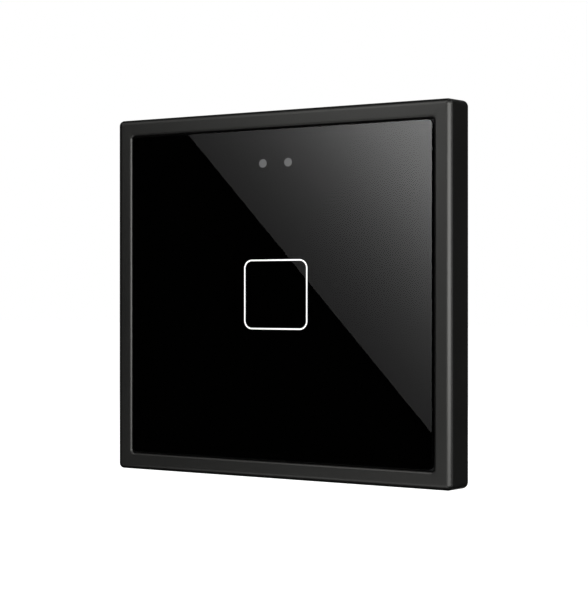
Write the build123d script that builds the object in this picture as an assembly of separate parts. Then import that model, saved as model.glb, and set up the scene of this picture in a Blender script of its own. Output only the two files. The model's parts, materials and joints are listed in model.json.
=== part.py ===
from build123d import *
import math
import os

# A touch light switch for a wall box, in millimetres. X runs right, Z up, and the front faces -Y.
# The origin is the centre of the yoke's rear face, which lies on the wall plane, so a depth is a Y value:
# negative in front of the wall and positive inside the wall box.

# Outer frame
FRAME_SIDE = 86.0
FRAME_DEPTH = 9.7
FRAME_INSET = 0.9
FRAME_CORNER = 1.75
FRAME_EDGE_ROUND = 0.8
RING_WIDTH = 3.6
OPENING_CORNER = 1.0
OPENING_ROUND = 0.6
FRAME_WALL = 1.5
WELL_WALL = 1.4
FRAME_SKIN = 2.2
FRAME_RIB = 1.2
FRAME_RIB_PITCH = 18.0
FRAME_RIB_COUNT = 4
FRAME_RIB_SETBACK = 1.2
LEDGE_WIDTH = 4.9
LEDGE_THICK = 1.2
LEDGE_LIFT = 1.8
NOTCH_WIDTH = 10.0
NOTCH_HEIGHT = 1.4

# Pegs that hold the frame on the yoke, and the panel in the frame
FRAME_PEG = 2.4
PANEL_PEG = 2.0
PEG_EDGE = 2.5
FRAME_PEG_HALF_PITCH = 26.0
PANEL_PEG_HALF_PITCH = 22.0
PEG_BOSS_WALL = 0.9
PEG_CLEARANCE = 0.1
PEG_END_GAP = 0.2
PEG_TIP = 0.3

# Glass, its print and its tape
PANEL_GAP = 0.3
GLASS_RECESS = 0.1
GLASS_THICK = 1.1
GLASS_CORNER = 0.8
GLASS_CHAMFER = 0.35
FILM_THICK = 0.2
FILM_MARGIN = 0.3
INLAY_GAP = 0.01
TAPE_THICK = 0.3
TAPE_MARGIN = 0.6
TAPE_WIDTH = 3.0

# Touch symbol and windows, as they show on the glass
SYMBOL_SIDE = 16.3
SYMBOL_LINE = 0.5
SYMBOL_CORNER = 2.1
WINDOW_SIZE = 1.95
WINDOW_PITCH = 6.4
WINDOW_DROP = 8.0

# Panel carrier
CARRIER_PLATE = 1.7
CARRIER_WALL = 1.6
CARRIER_CORNER = 0.8
SEAT_GAP = 0.05
SYMBOL_OPENING = 23.0
SENSOR_OPENING_WIDTH = 13.0
SENSOR_OPENING_HEIGHT = 4.8
OPENING_FILLET = 1.0

# Mounting yoke
YOKE_THICK = 1.2
YOKE_GAP = 0.5
YOKE_CORNER = 3.0
YOKE_OPENING = 28.0
YOKE_OPENING_CORNER = 2.0
BOX_SPACING = 60.0
SLOT_WIDTH = 4.2
SLOT_LENGTH = 8.0

# Front tray
TRAY_SIDE = 50.0
TRAY_CORNER = 3.0
TRAY_WALL = 1.0
TRAY_FLOOR = 1.2
TRAY_RIM = 1.0
TRAY_FRONT_GAP = 0.6
TAB_WIDTH = 16.0
TAB_RISE = 2.6

# Touch board and its parts
BOARD_THICK = 1.0
BOARD_GAP = 0.2
BOARD_HOLE_GAP = 0.15
LED_SIZE = (2.0, 1.25, 0.7)
LED_GAP = 0.2
GUIDE_WIDTH = 2.5
GUIDE_OVERHANG = 1.0
GUIDE_LEG = 0.8
LIGHT_GAP = 0.3
SPRING_RADIUS = 4.4
SPRING_WIRE = 0.45
SPRING_TURNS = 2.75
SPRING_GAP = 0.1
SPRING_LEAST_GAP = 0.4
SHROUD_WIDTH = 11.0
SHROUD_HEIGHT = 2.7
SHROUD_BORE = 2.1
SENSOR_SIZE = (1.6, 1.2, 0.8)
TOUCH_CHIP_SIZE = (5.0, 4.0, 1.1)
TOUCH_CHIP_PLACE = (-14.5, 8.0)
CHIP_LEG = (0.4, 1.0, 0.3)
SPRING_SAMPLES = 220
CHIP_LEG_PITCH = 1.27
CHIP_LEGS = 3
RESISTOR_SIZE = (1.6, 0.8, 0.5)
RESISTOR_COLUMNS = 3
RESISTOR_ROWS = 2
RESISTOR_PITCH = (2.6, 2.2)
RESISTOR_PLACE = (14.6, 8.0)
CHIP_CAPACITOR_SIZE = (2.0, 1.2, 0.9)
CHIP_CAPACITOR_COUNT = 4
CHIP_CAPACITOR_PITCH = 3.2
CHIP_CAPACITOR_PLACE = (-14.6, -7.0)

# Small screws of the touch board
BOARD_SCREW_HALF_PITCH = 20.5
BOARD_SCREW_SHANK = 2.0
BOARD_SCREW_HEAD = 3.6
BOARD_SCREW_HEAD_HEIGHT = 1.1
BOARD_SCREW_BOSS = 4.4
BOARD_SCREW_END_GAP = 0.2
BOARD_SCREW_FLOOR = 0.5
BOARD_RECESS = (2.0, 0.5, 0.6)
SCREW_CLEARANCE = 0.1
THREAD_CLEARANCE = 0.03

# Plug connection between the two boards
HEADER_COLUMNS = 4
HEADER_ROWS = 2
HEADER_PITCH = 2.54
HEADER_PLACE = (0.0, -10.9)
HEADER_HEIGHT = 2.5
HEADER_PIN = 0.64
HEADER_PIN_STUB = 0.5
HEADER_PIN_DEPTH = 2.6
HEADER_PIN_GAP = 0.05
HEADER_WINDOW_GAP = 0.6
SOCKET_CAVITY = 0.8
SOCKET_CAVITY_GAP = 0.3

# Rear housing
HOUSING_SIDE = 50.0
HOUSING_CUT = 10.0
HOUSING_DEPTH = 24.0
HOUSING_WALL = 1.6
HOUSING_EDGE_ROUND = 1.2
HOUSING_REAR_ROUND = 0.8
BAY_GAP = 0.25
BAY_WALL = 1.2
VENT_COUNT = 5
VENT_PITCH = 3.6
VENT_WIDTH = 1.4
VENT_LENGTH = 12.0
VENT_START = 7.0
LABEL_WIDTH = 26.0
LABEL_HEIGHT = 12.0
LABEL_DEPTH = 0.3
LABEL_CORNER = 1.0
LABEL_RISE = 3.0

# Long screws that clamp the yoke between the tray and the housing
CLAMP_HALF_PITCH = 17.5
CLAMP_SHANK = 2.9
CLAMP_HEAD = 5.0
CLAMP_HEAD_HEIGHT = 1.8
CLAMP_SINK = 2.0
CLAMP_BOSS = 7.0
CLAMP_NECK = 4.8
CLAMP_HOLE_GAP = 0.15
CLAMP_HEAD_GAP = 0.2
CLAMP_TRAY_BOSS = 5.0
CLAMP_ENGAGEMENT = 3.0
CLAMP_BOSS_CAP = 0.8
CLAMP_SHOULDER = 6.6
CLAMP_END_GAP = 0.2
CLAMP_RECESS = (2.8, 0.7, 1.0)

# Power board and the parts on it
POWER_BOARD_SETBACK = 3.0
POWER_BOARD_THICK = 1.6
PART_GAP = 1.2
RELAY_SIZE = (15.4, 19.0, 15.4)
RELAY_ROUND = 0.5
TRANSFORMER_SIZE = (13.0, 13.0, 12.0)
TRANSFORMER_BOTTOM = -3.5
TRANSFORMER_YOKE = 3.0
TRANSFORMER_LEG = 2.6
WINDING_GAP = 0.3
FILM_CAPACITOR_SIZE = (13.0, 5.5, 11.0)
FILM_CAPACITOR_ROUND = 0.6
ELECTROLYTIC_DIAMETER = 8.0
ELECTROLYTIC_HEIGHT = 12.0
ELECTROLYTIC_COUNT = 2
ELECTROLYTIC_BOTTOM = -7.5
ELECTROLYTIC_GROOVE = 0.4
ELECTROLYTIC_BASE = 1.6
ELECTROLYTIC_ROUND = 0.4
ELECTROLYTIC_GROOVE_WIDTH = 0.8
VARISTOR_DIAMETER = 7.0
VARISTOR_THICK = 3.0
VARISTOR_STAND = 0.6
VARISTOR_FOOT = 3.5
FUSE_DIAMETER = 4.0
FUSE_HEIGHT = 7.5
FUSE_ROUND = 0.4
FUSE_PLACE = (-10.5, -10.2)
BRIDGE_SIZE = (7.0, 3.0, 6.5)
BRIDGE_PLACE = (9.0, -10.6)
CHOKE_DIAMETER = 5.2
CHOKE_HEIGHT = 7.0
CHOKE_WAIST = 0.7
CHOKE_FLANGE = 0.9
CHOKE_PLACE = (0.0, -9.4)
SUPPLY_CHIP_SIZE = (4.0, 3.0, 1.6)
SUPPLY_CHIP_PLACE = (17.0, -9.8)

# Terminals
TERMINAL_COUNT = 3
BLOCK_WIDTH = 8.0
BLOCK_SPACE = 0.2
BLOCK_FLOOR = 1.1
BLOCK_FRONT_WALL = 2.8
BLOCK_REAR_WALL = 2.8
BLOCK_WEB = 1.0
BLOCK_LIP = 0.8
BLOCK_CHAMFER = 0.5
BLOCK_BORE_GAP = 0.1
WIRE_BORE = 3.3
WIRE_FUNNEL = 0.5
FUNNEL_ANGLE = 45.0
CAGE_WIDTH = 5.2
CAGE_LENGTH = 4.8
CAGE_WALL = 0.8
CAGE_FLOOR = 1.0
CAGE_NUT = 1.8
CAGE_GAP = 0.2
CAGE_TRAVEL = 3.0
CAGE_END_GAP = 0.3
CAGE_BAR_GAP = 0.5
BAR_WIDTH = 2.8
BAR_THICK = 0.9
BAR_GAP = 0.05
BAR_WEB = 0.8
BAR_STUB = 0.8
BAR_TIP_GAP = 0.1
TERMINAL_SHANK = 3.0
TERMINAL_HEAD = 4.4
TERMINAL_HEAD_HEIGHT = 1.9
TERMINAL_HEAD_GAP = 0.05
TERMINAL_LIP_GAP = 0.1
TERMINAL_MOUTH = 3.6
TERMINAL_HEAD_CHAMFER = 0.25
NUT_CLEARANCE = 0.05
TERMINAL_SLOT = 0.7
TERMINAL_SLOT_DEPTH = 0.9

# Depths from the front to the wall plane
FRONT = -FRAME_DEPTH
GLASS_FRONT = FRONT + GLASS_RECESS
GLASS_BACK = GLASS_FRONT + GLASS_THICK
FILM_BACK = GLASS_BACK + FILM_THICK
TAPE_BACK = FILM_BACK + TAPE_THICK
PLATE_BACK = TAPE_BACK + CARRIER_PLATE
TRAY_BACK = -YOKE_THICK
TRAY_FLOOR_FRONT = TRAY_BACK - TRAY_FLOOR
TRAY_FRONT = PLATE_BACK + TRAY_FRONT_GAP
BOARD_FRONT = TRAY_FRONT + TRAY_RIM
BOARD_BACK = BOARD_FRONT + BOARD_THICK
LEDGE_BACK = TRAY_BACK - LEDGE_LIFT
LEDGE_FRONT = LEDGE_BACK - LEDGE_THICK
CARRIER_BACK = LEDGE_FRONT - SEAT_GAP
GUIDE_FRONT = FILM_BACK + LIGHT_GAP

# Depths from the wall plane to the back of the housing
POWER_BOARD_FRONT = POWER_BOARD_SETBACK
POWER_BOARD_BACK = POWER_BOARD_FRONT + POWER_BOARD_THICK
CAVITY_FRONT = POWER_BOARD_BACK + BLOCK_FLOOR
CAGE_FRONT = CAVITY_FRONT + CAGE_GAP
CLAMP_FACE = CAGE_FRONT + CAGE_FLOOR
BAR_FRONT = CLAMP_FACE + WIRE_BORE
BAR_BACK = BAR_FRONT + BAR_THICK
SCREW_TIP = BAR_BACK + BAR_TIP_GAP
NUT_FRONT = BAR_BACK + CAGE_BAR_GAP
CAGE_BACK = NUT_FRONT + CAGE_NUT
CAVITY_BACK = CAGE_BACK + CAGE_TRAVEL + CAGE_END_GAP
HEAD_SEAT = CAVITY_BACK + BLOCK_WEB
HEAD_FRONT = HEAD_SEAT + TERMINAL_HEAD_GAP
HEAD_BACK = HEAD_FRONT + TERMINAL_HEAD_HEIGHT
LIP_FRONT = HEAD_BACK + TERMINAL_LIP_GAP
BLOCK_BACK = LIP_FRONT + BLOCK_LIP
WIRE_DEPTH = CLAMP_FACE + WIRE_BORE / 2
HOUSING_INSIDE = HOUSING_DEPTH - HOUSING_WALL

# Sides and places that follow from the sizes above
GLASS_SIDE = FRAME_SIDE - 2 * (FRAME_INSET + RING_WIDTH + PANEL_GAP)
OPENING_SIDE = GLASS_SIDE + 2 * PANEL_GAP
LEDGE_SIDE = OPENING_SIDE - 2 * LEDGE_WIDTH
YOKE_SIDE = OPENING_SIDE - 2 * YOKE_GAP
PEG_LINE = OPENING_SIDE / 2 - PEG_EDGE
WINDOW_Z = GLASS_SIDE / 2 - WINDOW_DROP
DRAFT_ANGLE = math.degrees(math.atan(FRAME_INSET / FRAME_DEPTH))
GUIDE_SIDE = SYMBOL_SIDE + 2 * GUIDE_OVERHANG
HOUSING_HALF = HOUSING_SIDE / 2
INNER_HALF = HOUSING_HALF - HOUSING_WALL
BLOCK_BOTTOM = -HOUSING_HALF
CAVITY_BOTTOM = BLOCK_BOTTOM + BLOCK_FRONT_WALL
CAVITY_TOP = CAVITY_BOTTOM + CAGE_LENGTH + 2 * CAGE_GAP
BLOCK_TOP = CAVITY_TOP + BLOCK_REAR_WALL
SCREW_Z = (CAVITY_BOTTOM + CAVITY_TOP) / 2
BLOCK_PITCH = BLOCK_WIDTH + BLOCK_SPACE
BAY_HALF = (TERMINAL_COUNT * BLOCK_PITCH - BLOCK_SPACE) / 2 + BAY_GAP
BAY_TOP = BLOCK_TOP + BAY_GAP
TERMINAL_XS = [(i - (TERMINAL_COUNT - 1) / 2) * BLOCK_PITCH for i in range(TERMINAL_COUNT)]
CORNERS = [(x, z) for x in (-1, 1) for z in (-1, 1)]
SLACK = 1.0


def slab(outline, front, back):
    """An outline drawn in X and Z, carried along Y from one depth to another."""
    return extrude(Plane.XZ.offset(-back) * outline, amount=back - front)


def drafted(side, corner, depth):
    """A square block from the wall plane forwards, which narrows as the frame's side does."""
    outline = Plane.XZ * RectangleRounded(side, side, corner)
    return extrude(outline, amount=depth, taper=DRAFT_ANGLE)


def square(side, corner):
    """A square outline with rounded corners."""
    return RectangleRounded(side, side, corner)


def patch(x, z, width, height):
    """A plain rectangle centred at a place."""
    return Pos(x, z) * Rectangle(width, height)


def disc(x, z, diameter):
    """A circle centred at a place."""
    return Pos(x, z) * Circle(diameter / 2)


def block(x, z, size, base):
    """A box of width, height and depth that stands on a board's rear face."""
    width, height, depth = size
    return slab(patch(x, z, width, height), base, base + depth)


def front_face(body):
    """The foremost face of a body."""
    return body.faces().sort_by(Axis.Y)[0]


def rear_face(body):
    """The rearmost face of a body."""
    return body.faces().sort_by(Axis.Y)[-1]


def windows(diameter):
    """The two round window outlines, side by side."""
    return disc(-WINDOW_PITCH / 2, WINDOW_Z, diameter) + disc(WINDOW_PITCH / 2, WINDOW_Z, diameter)


def symbol_ring(grow):
    """The symbol's line, widened on both sides by a gap."""
    inner_side = SYMBOL_SIDE - 2 * SYMBOL_LINE
    inner_corner = SYMBOL_CORNER - SYMBOL_LINE
    outer = square(SYMBOL_SIDE + 2 * grow, SYMBOL_CORNER + grow)
    return outer - square(inner_side - 2 * grow, inner_corner - grow)


def frame_pegs():
    """Where the frame's pegs enter the yoke."""
    return [(side * PEG_LINE, end * FRAME_PEG_HALF_PITCH) for side, end in CORNERS]


def panel_pegs():
    """Where the panel carrier's pegs enter the frame's ledge."""
    return [(side * PANEL_PEG_HALF_PITCH, end * PEG_LINE) for side, end in CORNERS]


def peg(x, z, diameter, front, back):
    """A round peg with a chamfered tip at its rear end."""
    body = slab(disc(x, z, diameter), front, back)
    return chamfer(rear_face(body).edges(), PEG_TIP)


def frame_channel():
    """The groove between the frame's outer wall and the wall of its well, crossed by ribs."""
    outer = drafted(FRAME_SIDE - 2 * FRAME_WALL, FRAME_CORNER, FRAME_DEPTH - FRAME_SKIN)
    core_side = OPENING_SIDE + 2 * WELL_WALL
    channel = outer - slab(square(core_side, OPENING_CORNER + WELL_WALL), FRONT, SLACK)
    for i in range(FRAME_RIB_COUNT):
        place = (i - (FRAME_RIB_COUNT - 1) / 2) * FRAME_RIB_PITCH
        channel -= slab(patch(place, 0, FRAME_RIB, FRAME_SIDE), FRONT, -FRAME_RIB_SETBACK)
        channel -= slab(patch(0, place, FRAME_SIDE, FRAME_RIB), FRONT, -FRAME_RIB_SETBACK)
    return channel


def outer_frame():
    """The moulded frame: rounded ring, drafted side, hollow rear, ledge and pegs."""
    body = drafted(FRAME_SIDE, FRAME_CORNER, FRAME_DEPTH)
    body = fillet(front_face(body).edges(), FRAME_EDGE_ROUND)
    body -= slab(square(OPENING_SIDE, OPENING_CORNER), FRONT - SLACK, SLACK)
    body = fillet(front_face(body).inner_wires()[0].edges(), OPENING_ROUND)
    body -= frame_channel()
    ledge = square(OPENING_SIDE + WELL_WALL, OPENING_CORNER) - square(LEDGE_SIDE, OPENING_CORNER)
    body += slab(ledge, LEDGE_FRONT, LEDGE_BACK)
    for x, z in frame_pegs():
        body += peg(x, z, FRAME_PEG, LEDGE_BACK, -PEG_END_GAP)
    for x, z in panel_pegs():
        body -= slab(disc(x, z, PANEL_PEG + 2 * PEG_CLEARANCE), LEDGE_FRONT, LEDGE_BACK)
    notch = patch(0, -FRAME_SIDE / 2, NOTCH_WIDTH, 2 * (FRAME_WALL + SLACK))
    return body - slab(notch, -NOTCH_HEIGHT, SLACK)


def glass_panel():
    """The glass plate, with its front and rear edges ground to a chamfer."""
    body = slab(square(GLASS_SIDE, GLASS_CORNER), GLASS_FRONT, GLASS_BACK)
    return chamfer(front_face(body).edges() + rear_face(body).edges(), GLASS_CHAMFER)


def film_side():
    """The side of the print behind the glass."""
    return GLASS_SIDE - 2 * (GLASS_CHAMFER + FILM_MARGIN)


def mask_film():
    """The opaque print, open along the symbol's line and at the windows."""
    field = square(film_side(), GLASS_CORNER)
    holes = symbol_ring(INLAY_GAP) + windows(WINDOW_SIZE + 2 * INLAY_GAP)
    return slab(field - holes, GLASS_BACK, FILM_BACK)


def symbol_inlay():
    """The pale line that fills the symbol's opening in the print."""
    return slab(symbol_ring(0), GLASS_BACK, FILM_BACK)


def window_inlays():
    """The two discs that fill the windows' openings in the print."""
    return slab(windows(WINDOW_SIZE), GLASS_BACK, FILM_BACK)


def panel_tape():
    """The ring of foam tape between the print and the carrier."""
    outer = film_side() - 2 * TAPE_MARGIN
    ring = square(outer, GLASS_CORNER) - square(outer - 2 * TAPE_WIDTH, GLASS_CORNER)
    return slab(ring, FILM_BACK, TAPE_BACK)


def panel_carrier():
    """The carrier plate with its wall, four peg bosses, and openings for light and touch."""
    opening = square(SYMBOL_OPENING, OPENING_FILLET)
    sensor = RectangleRounded(SENSOR_OPENING_WIDTH, SENSOR_OPENING_HEIGHT, OPENING_FILLET)
    plate = square(GLASS_SIDE, CARRIER_CORNER) - opening - Pos(0, WINDOW_Z) * sensor
    wall = square(GLASS_SIDE, CARRIER_CORNER)
    wall -= square(GLASS_SIDE - 2 * CARRIER_WALL, CARRIER_CORNER)
    body = slab(plate, TAPE_BACK, PLATE_BACK) + slab(wall, TAPE_BACK, CARRIER_BACK)
    for x, z in panel_pegs():
        boss = disc(x, z, PANEL_PEG + 2 * PEG_BOSS_WALL)
        body += slab(boss, TAPE_BACK, CARRIER_BACK)
        body += peg(x, z, PANEL_PEG, CARRIER_BACK, LEDGE_BACK + PEG_TIP)
    return body


def clamp_places():
    """The four long screws' places."""
    return [(x * CLAMP_HALF_PITCH, z * CLAMP_HALF_PITCH) for x, z in CORNERS]


def mounting_yoke():
    """The steel plate: two box slots, a central opening, screw holes and peg holes."""
    outline = square(YOKE_SIDE, YOKE_CORNER) - square(YOKE_OPENING, YOKE_OPENING_CORNER)
    for side in (-1, 1):
        outline -= Pos(side * BOX_SPACING / 2, 0) * SlotOverall(SLOT_LENGTH, SLOT_WIDTH)
    for x, z in clamp_places():
        outline -= disc(x, z, CLAMP_SHANK + 2 * CLAMP_HOLE_GAP)
    for x, z in frame_pegs():
        outline -= disc(x, z, FRAME_PEG + 2 * PEG_CLEARANCE)
    return slab(outline, TRAY_BACK, 0)


def tray_outline(inset):
    """The tray's outline, a square with a tab that reaches up behind the windows."""
    body = square(TRAY_SIDE - 2 * inset, TRAY_CORNER - inset)
    top = WINDOW_Z + TAB_RISE - inset
    return body + patch(0, top / 2, TAB_WIDTH - 2 * inset, top)


def header_outline(grow):
    """The outline of the plug connection, widened on all sides."""
    width = HEADER_COLUMNS * HEADER_PITCH + 2 * grow
    height = HEADER_ROWS * HEADER_PITCH + 2 * grow
    return patch(*HEADER_PLACE, width, height)


def header_places():
    """The places of the connection's pins."""
    x, z = HEADER_PLACE
    columns = [(i - (HEADER_COLUMNS - 1) / 2) * HEADER_PITCH for i in range(HEADER_COLUMNS)]
    rows = [(i - (HEADER_ROWS - 1) / 2) * HEADER_PITCH for i in range(HEADER_ROWS)]
    return [(x + column, z + row) for column in columns for row in rows]


def board_screw_places():
    """The three small screws' places: left, right and bottom."""
    return [(-BOARD_SCREW_HALF_PITCH, 0), (BOARD_SCREW_HALF_PITCH, 0), (0, -BOARD_SCREW_HALF_PITCH)]


def front_tray():
    """The tray in front of the yoke, with bosses for the long and the small screws."""
    body = slab(tray_outline(0), TRAY_FRONT, TRAY_BACK)
    body -= slab(tray_outline(TRAY_WALL), TRAY_FRONT - SLACK, TRAY_FLOOR_FRONT)
    body -= slab(header_outline(HEADER_WINDOW_GAP), TRAY_FLOOR_FRONT - SLACK, TRAY_BACK + SLACK)
    for x, z in clamp_places():
        body += slab(disc(x, z, CLAMP_SHOULDER), BOARD_BACK, TRAY_FLOOR_FRONT)
        body += slab(disc(x, z, CLAMP_TRAY_BOSS), clamp_tip() - CLAMP_BOSS_CAP, TRAY_FLOOR_FRONT)
        bore = disc(x, z, CLAMP_SHANK + 2 * THREAD_CLEARANCE)
        body -= slab(bore, clamp_tip() - CLAMP_END_GAP, TRAY_BACK + SLACK)
    for x, z in board_screw_places():
        body += slab(disc(x, z, BOARD_SCREW_BOSS), BOARD_BACK, TRAY_FLOOR_FRONT)
        bore = disc(x, z, BOARD_SCREW_SHANK + 2 * THREAD_CLEARANCE)
        body -= slab(bore, BOARD_BACK - SLACK, board_screw_tip() + BOARD_SCREW_END_GAP)
    return body


def clamp_tip():
    """The depth that the long screws reach inside the tray's bosses."""
    return TRAY_BACK - CLAMP_ENGAGEMENT


def board_screw_tip():
    """The depth that the small screws reach, short of the floor left at the tray's rear."""
    return TRAY_BACK - BOARD_SCREW_FLOOR - BOARD_SCREW_END_GAP


def touch_pcb():
    """The touch board, holed for the tray's bosses, the small screws and the header's pins."""
    outline = tray_outline(TRAY_WALL + BOARD_GAP)
    for x, z in clamp_places():
        outline -= disc(x, z, CLAMP_TRAY_BOSS + 2 * BOARD_HOLE_GAP)
    for x, z in board_screw_places():
        outline -= disc(x, z, BOARD_SCREW_SHANK + 2 * SCREW_CLEARANCE)
    for x, z in header_places():
        outline -= disc(x, z, math.hypot(HEADER_PIN, HEADER_PIN) + 2 * HEADER_PIN_GAP)
    return slab(outline, BOARD_FRONT, BOARD_BACK)


def spring_points(rise, count):
    """Points along the touch spring's centre line, evenly spaced by angle."""
    turns = [SPRING_TURNS * i / count for i in range(count + 1)]
    angles = [2 * math.pi * turn for turn in turns]
    return [
        (SPRING_RADIUS * math.cos(angle), rise * turn / SPRING_TURNS, SPRING_RADIUS * math.sin(angle))
        for turn, angle in zip(turns, angles)
    ]


def spring_gap(rise):
    """The least gap of the touch spring to itself, between points over half a turn apart."""
    points = spring_points(rise, SPRING_SAMPLES)
    apart = int(SPRING_SAMPLES / SPRING_TURNS / 2)
    last = SPRING_SAMPLES + 1
    pairs = ((i, j) for i in range(last) for j in range(i + apart, last))
    return min(math.dist(points[i], points[j]) for i, j in pairs) - SPRING_WIRE


def touch_spring():
    """The sensing spring: one unbroken wire wound from the board to just behind the print."""
    start = BOARD_FRONT - SPRING_WIRE / 2
    rise = start - (FILM_BACK + SPRING_GAP + SPRING_WIRE / 2)
    gap = spring_gap(rise)
    print("touch spring: least gap to itself", round(gap, 2), "mm, limit", SPRING_LEAST_GAP, "mm")
    pitch = rise / SPRING_TURNS
    path = Helix(pitch, rise, SPRING_RADIUS, center=(0, start, 0), direction=(0, -1, 0))
    section = Plane(origin=path @ 0, z_dir=path % 0) * Circle(SPRING_WIRE / 2)
    return sweep(section, path=path)


def light_guide():
    """The clear ring that carries light from the board to the symbol, on four legs."""
    guide_back = BOARD_FRONT - LED_SIZE[2] - LED_GAP
    inner = square(GUIDE_SIDE - 2 * GUIDE_WIDTH, SYMBOL_CORNER)
    ring = square(GUIDE_SIDE, SYMBOL_CORNER + GUIDE_OVERHANG) - inner
    body = slab(ring, GUIDE_FRONT, guide_back)
    middle = (GUIDE_SIDE - GUIDE_WIDTH) / 2
    for x, z in CORNERS:
        body += slab(disc(x * middle, z * middle, 2 * GUIDE_LEG), guide_back, BOARD_FRONT)
    return body


def raised(x, z, size, turned=False):
    """A small chip on the touch board's front face, given as width, height and rise."""
    width, height, rise = size
    if turned:
        width, height = height, width
    return slab(patch(x, z, width, height), BOARD_FRONT - rise, BOARD_FRONT)


def symbol_leds():
    """One light under the middle of each side of the light guide."""
    middle = (GUIDE_SIDE - GUIDE_WIDTH) / 2
    lights = [raised(0, side * middle, LED_SIZE) for side in (-1, 1)]
    lights += [raised(side * middle, 0, LED_SIZE, turned=True) for side in (-1, 1)]
    return Compound(children=[light.solid() for light in lights])


def window_shroud():
    """The dark block that keeps the two windows' light apart."""
    outline = patch(0, WINDOW_Z, SHROUD_WIDTH, SHROUD_HEIGHT) - windows(SHROUD_BORE)
    return slab(outline, GUIDE_FRONT, BOARD_FRONT)


def window_sensor(side):
    """The small part on the board behind one window."""
    return raised(side * WINDOW_PITCH / 2, WINDOW_Z, SENSOR_SIZE)


def touch_chip():
    """The sensing chip with its legs along two sides."""
    x, z = TOUCH_CHIP_PLACE
    body = raised(x, z, TOUCH_CHIP_SIZE)
    reach = (TOUCH_CHIP_SIZE[1] + CHIP_LEG[1]) / 2
    for i in range(CHIP_LEGS):
        place = x + (i - (CHIP_LEGS - 1) / 2) * CHIP_LEG_PITCH
        for side in (-1, 1):
            body += raised(place, z + side * reach, CHIP_LEG)
    return body


def chip_resistors():
    """A grid of small resistors."""
    pitch_x, pitch_z = RESISTOR_PITCH
    x, z = RESISTOR_PLACE
    columns = [x + (i - (RESISTOR_COLUMNS - 1) / 2) * pitch_x for i in range(RESISTOR_COLUMNS)]
    rows = [z + (i - (RESISTOR_ROWS - 1) / 2) * pitch_z for i in range(RESISTOR_ROWS)]
    parts = [raised(column, row, RESISTOR_SIZE) for column in columns for row in rows]
    return Compound(children=[part.solid() for part in parts])


def chip_capacitors():
    """A row of small capacitors."""
    x, z = CHIP_CAPACITOR_PLACE
    shift = (CHIP_CAPACITOR_COUNT - 1) / 2
    places = [x + (i - shift) * CHIP_CAPACITOR_PITCH for i in range(CHIP_CAPACITOR_COUNT)]
    return Compound(children=[raised(place, z, CHIP_CAPACITOR_SIZE).solid() for place in places])


def cross_recess(x, z, size, face, inwards):
    """A cross-shaped cut of span, blade and depth in a screw's head, from its outer face inwards."""
    span, blade, depth = size
    cross = patch(x, z, span, blade) + patch(x, z, blade, span)
    ends = sorted((face - inwards * SLACK, face + inwards * depth))
    return slab(cross, *ends)


def board_screws():
    """The three small screws that hold the touch board on the tray."""
    screws = []
    head_front = BOARD_FRONT - BOARD_SCREW_HEAD_HEIGHT
    for x, z in board_screw_places():
        head = slab(disc(x, z, BOARD_SCREW_HEAD), head_front, BOARD_FRONT)
        head = fillet(front_face(head).edges(), BOARD_SCREW_HEAD_HEIGHT / 2)
        body = head + slab(disc(x, z, BOARD_SCREW_SHANK), BOARD_FRONT, board_screw_tip())
        screws.append((body - cross_recess(x, z, BOARD_RECESS, head_front, 1)).solid())
    return Compound(children=screws)


def header_block():
    """The header's moulded block behind the touch board."""
    outline = header_outline(0)
    for x, z in header_places():
        outline -= patch(x, z, HEADER_PIN + 2 * HEADER_PIN_GAP, HEADER_PIN + 2 * HEADER_PIN_GAP)
    return slab(outline, BOARD_BACK, BOARD_BACK + HEADER_HEIGHT)


def header_pins():
    """The square pins, from just in front of the touch board into the socket."""
    back = BOARD_BACK + HEADER_HEIGHT + HEADER_PIN_DEPTH
    front = BOARD_FRONT - HEADER_PIN_STUB
    pins = [slab(patch(x, z, HEADER_PIN, HEADER_PIN), front, back) for x, z in header_places()]
    return Compound(children=[pin.solid() for pin in pins])


def header_socket():
    """The socket on the power board's front, with one cavity for each pin."""
    front = BOARD_BACK + HEADER_HEIGHT
    body = slab(header_outline(0), front, POWER_BOARD_FRONT)
    for x, z in header_places():
        cavity_back = front + HEADER_PIN_DEPTH + SOCKET_CAVITY_GAP
        body -= slab(patch(x, z, SOCKET_CAVITY, SOCKET_CAVITY), front - SLACK, cavity_back)
    return body


def housing_outline(inset):
    """The housing's outline, a square with its corners cut off so that it fits a round wall box."""
    side = HOUSING_SIDE - 2 * inset
    outline = Rectangle(side, side)
    return chamfer(outline.vertices(), HOUSING_CUT - 2 * inset + math.hypot(inset, inset))


def housing_bay(wall):
    """The outline of the space for the terminals, open at the bottom, widened by the wall round it."""
    top = BAY_TOP + wall
    height = top - BLOCK_BOTTOM + SLACK
    return patch(0, top - height / 2, 2 * (BAY_HALF + wall), height)


def housing_vents():
    """Rows of slots through the housing's two sides."""
    cuts = []
    for i in range(VENT_COUNT):
        z = (i - (VENT_COUNT - 1) / 2) * VENT_PITCH
        strip = patch(0, z, HOUSING_SIDE + SLACK, VENT_WIDTH)
        cuts.append(slab(strip, VENT_START, VENT_START + VENT_LENGTH))
    return cuts


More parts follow.
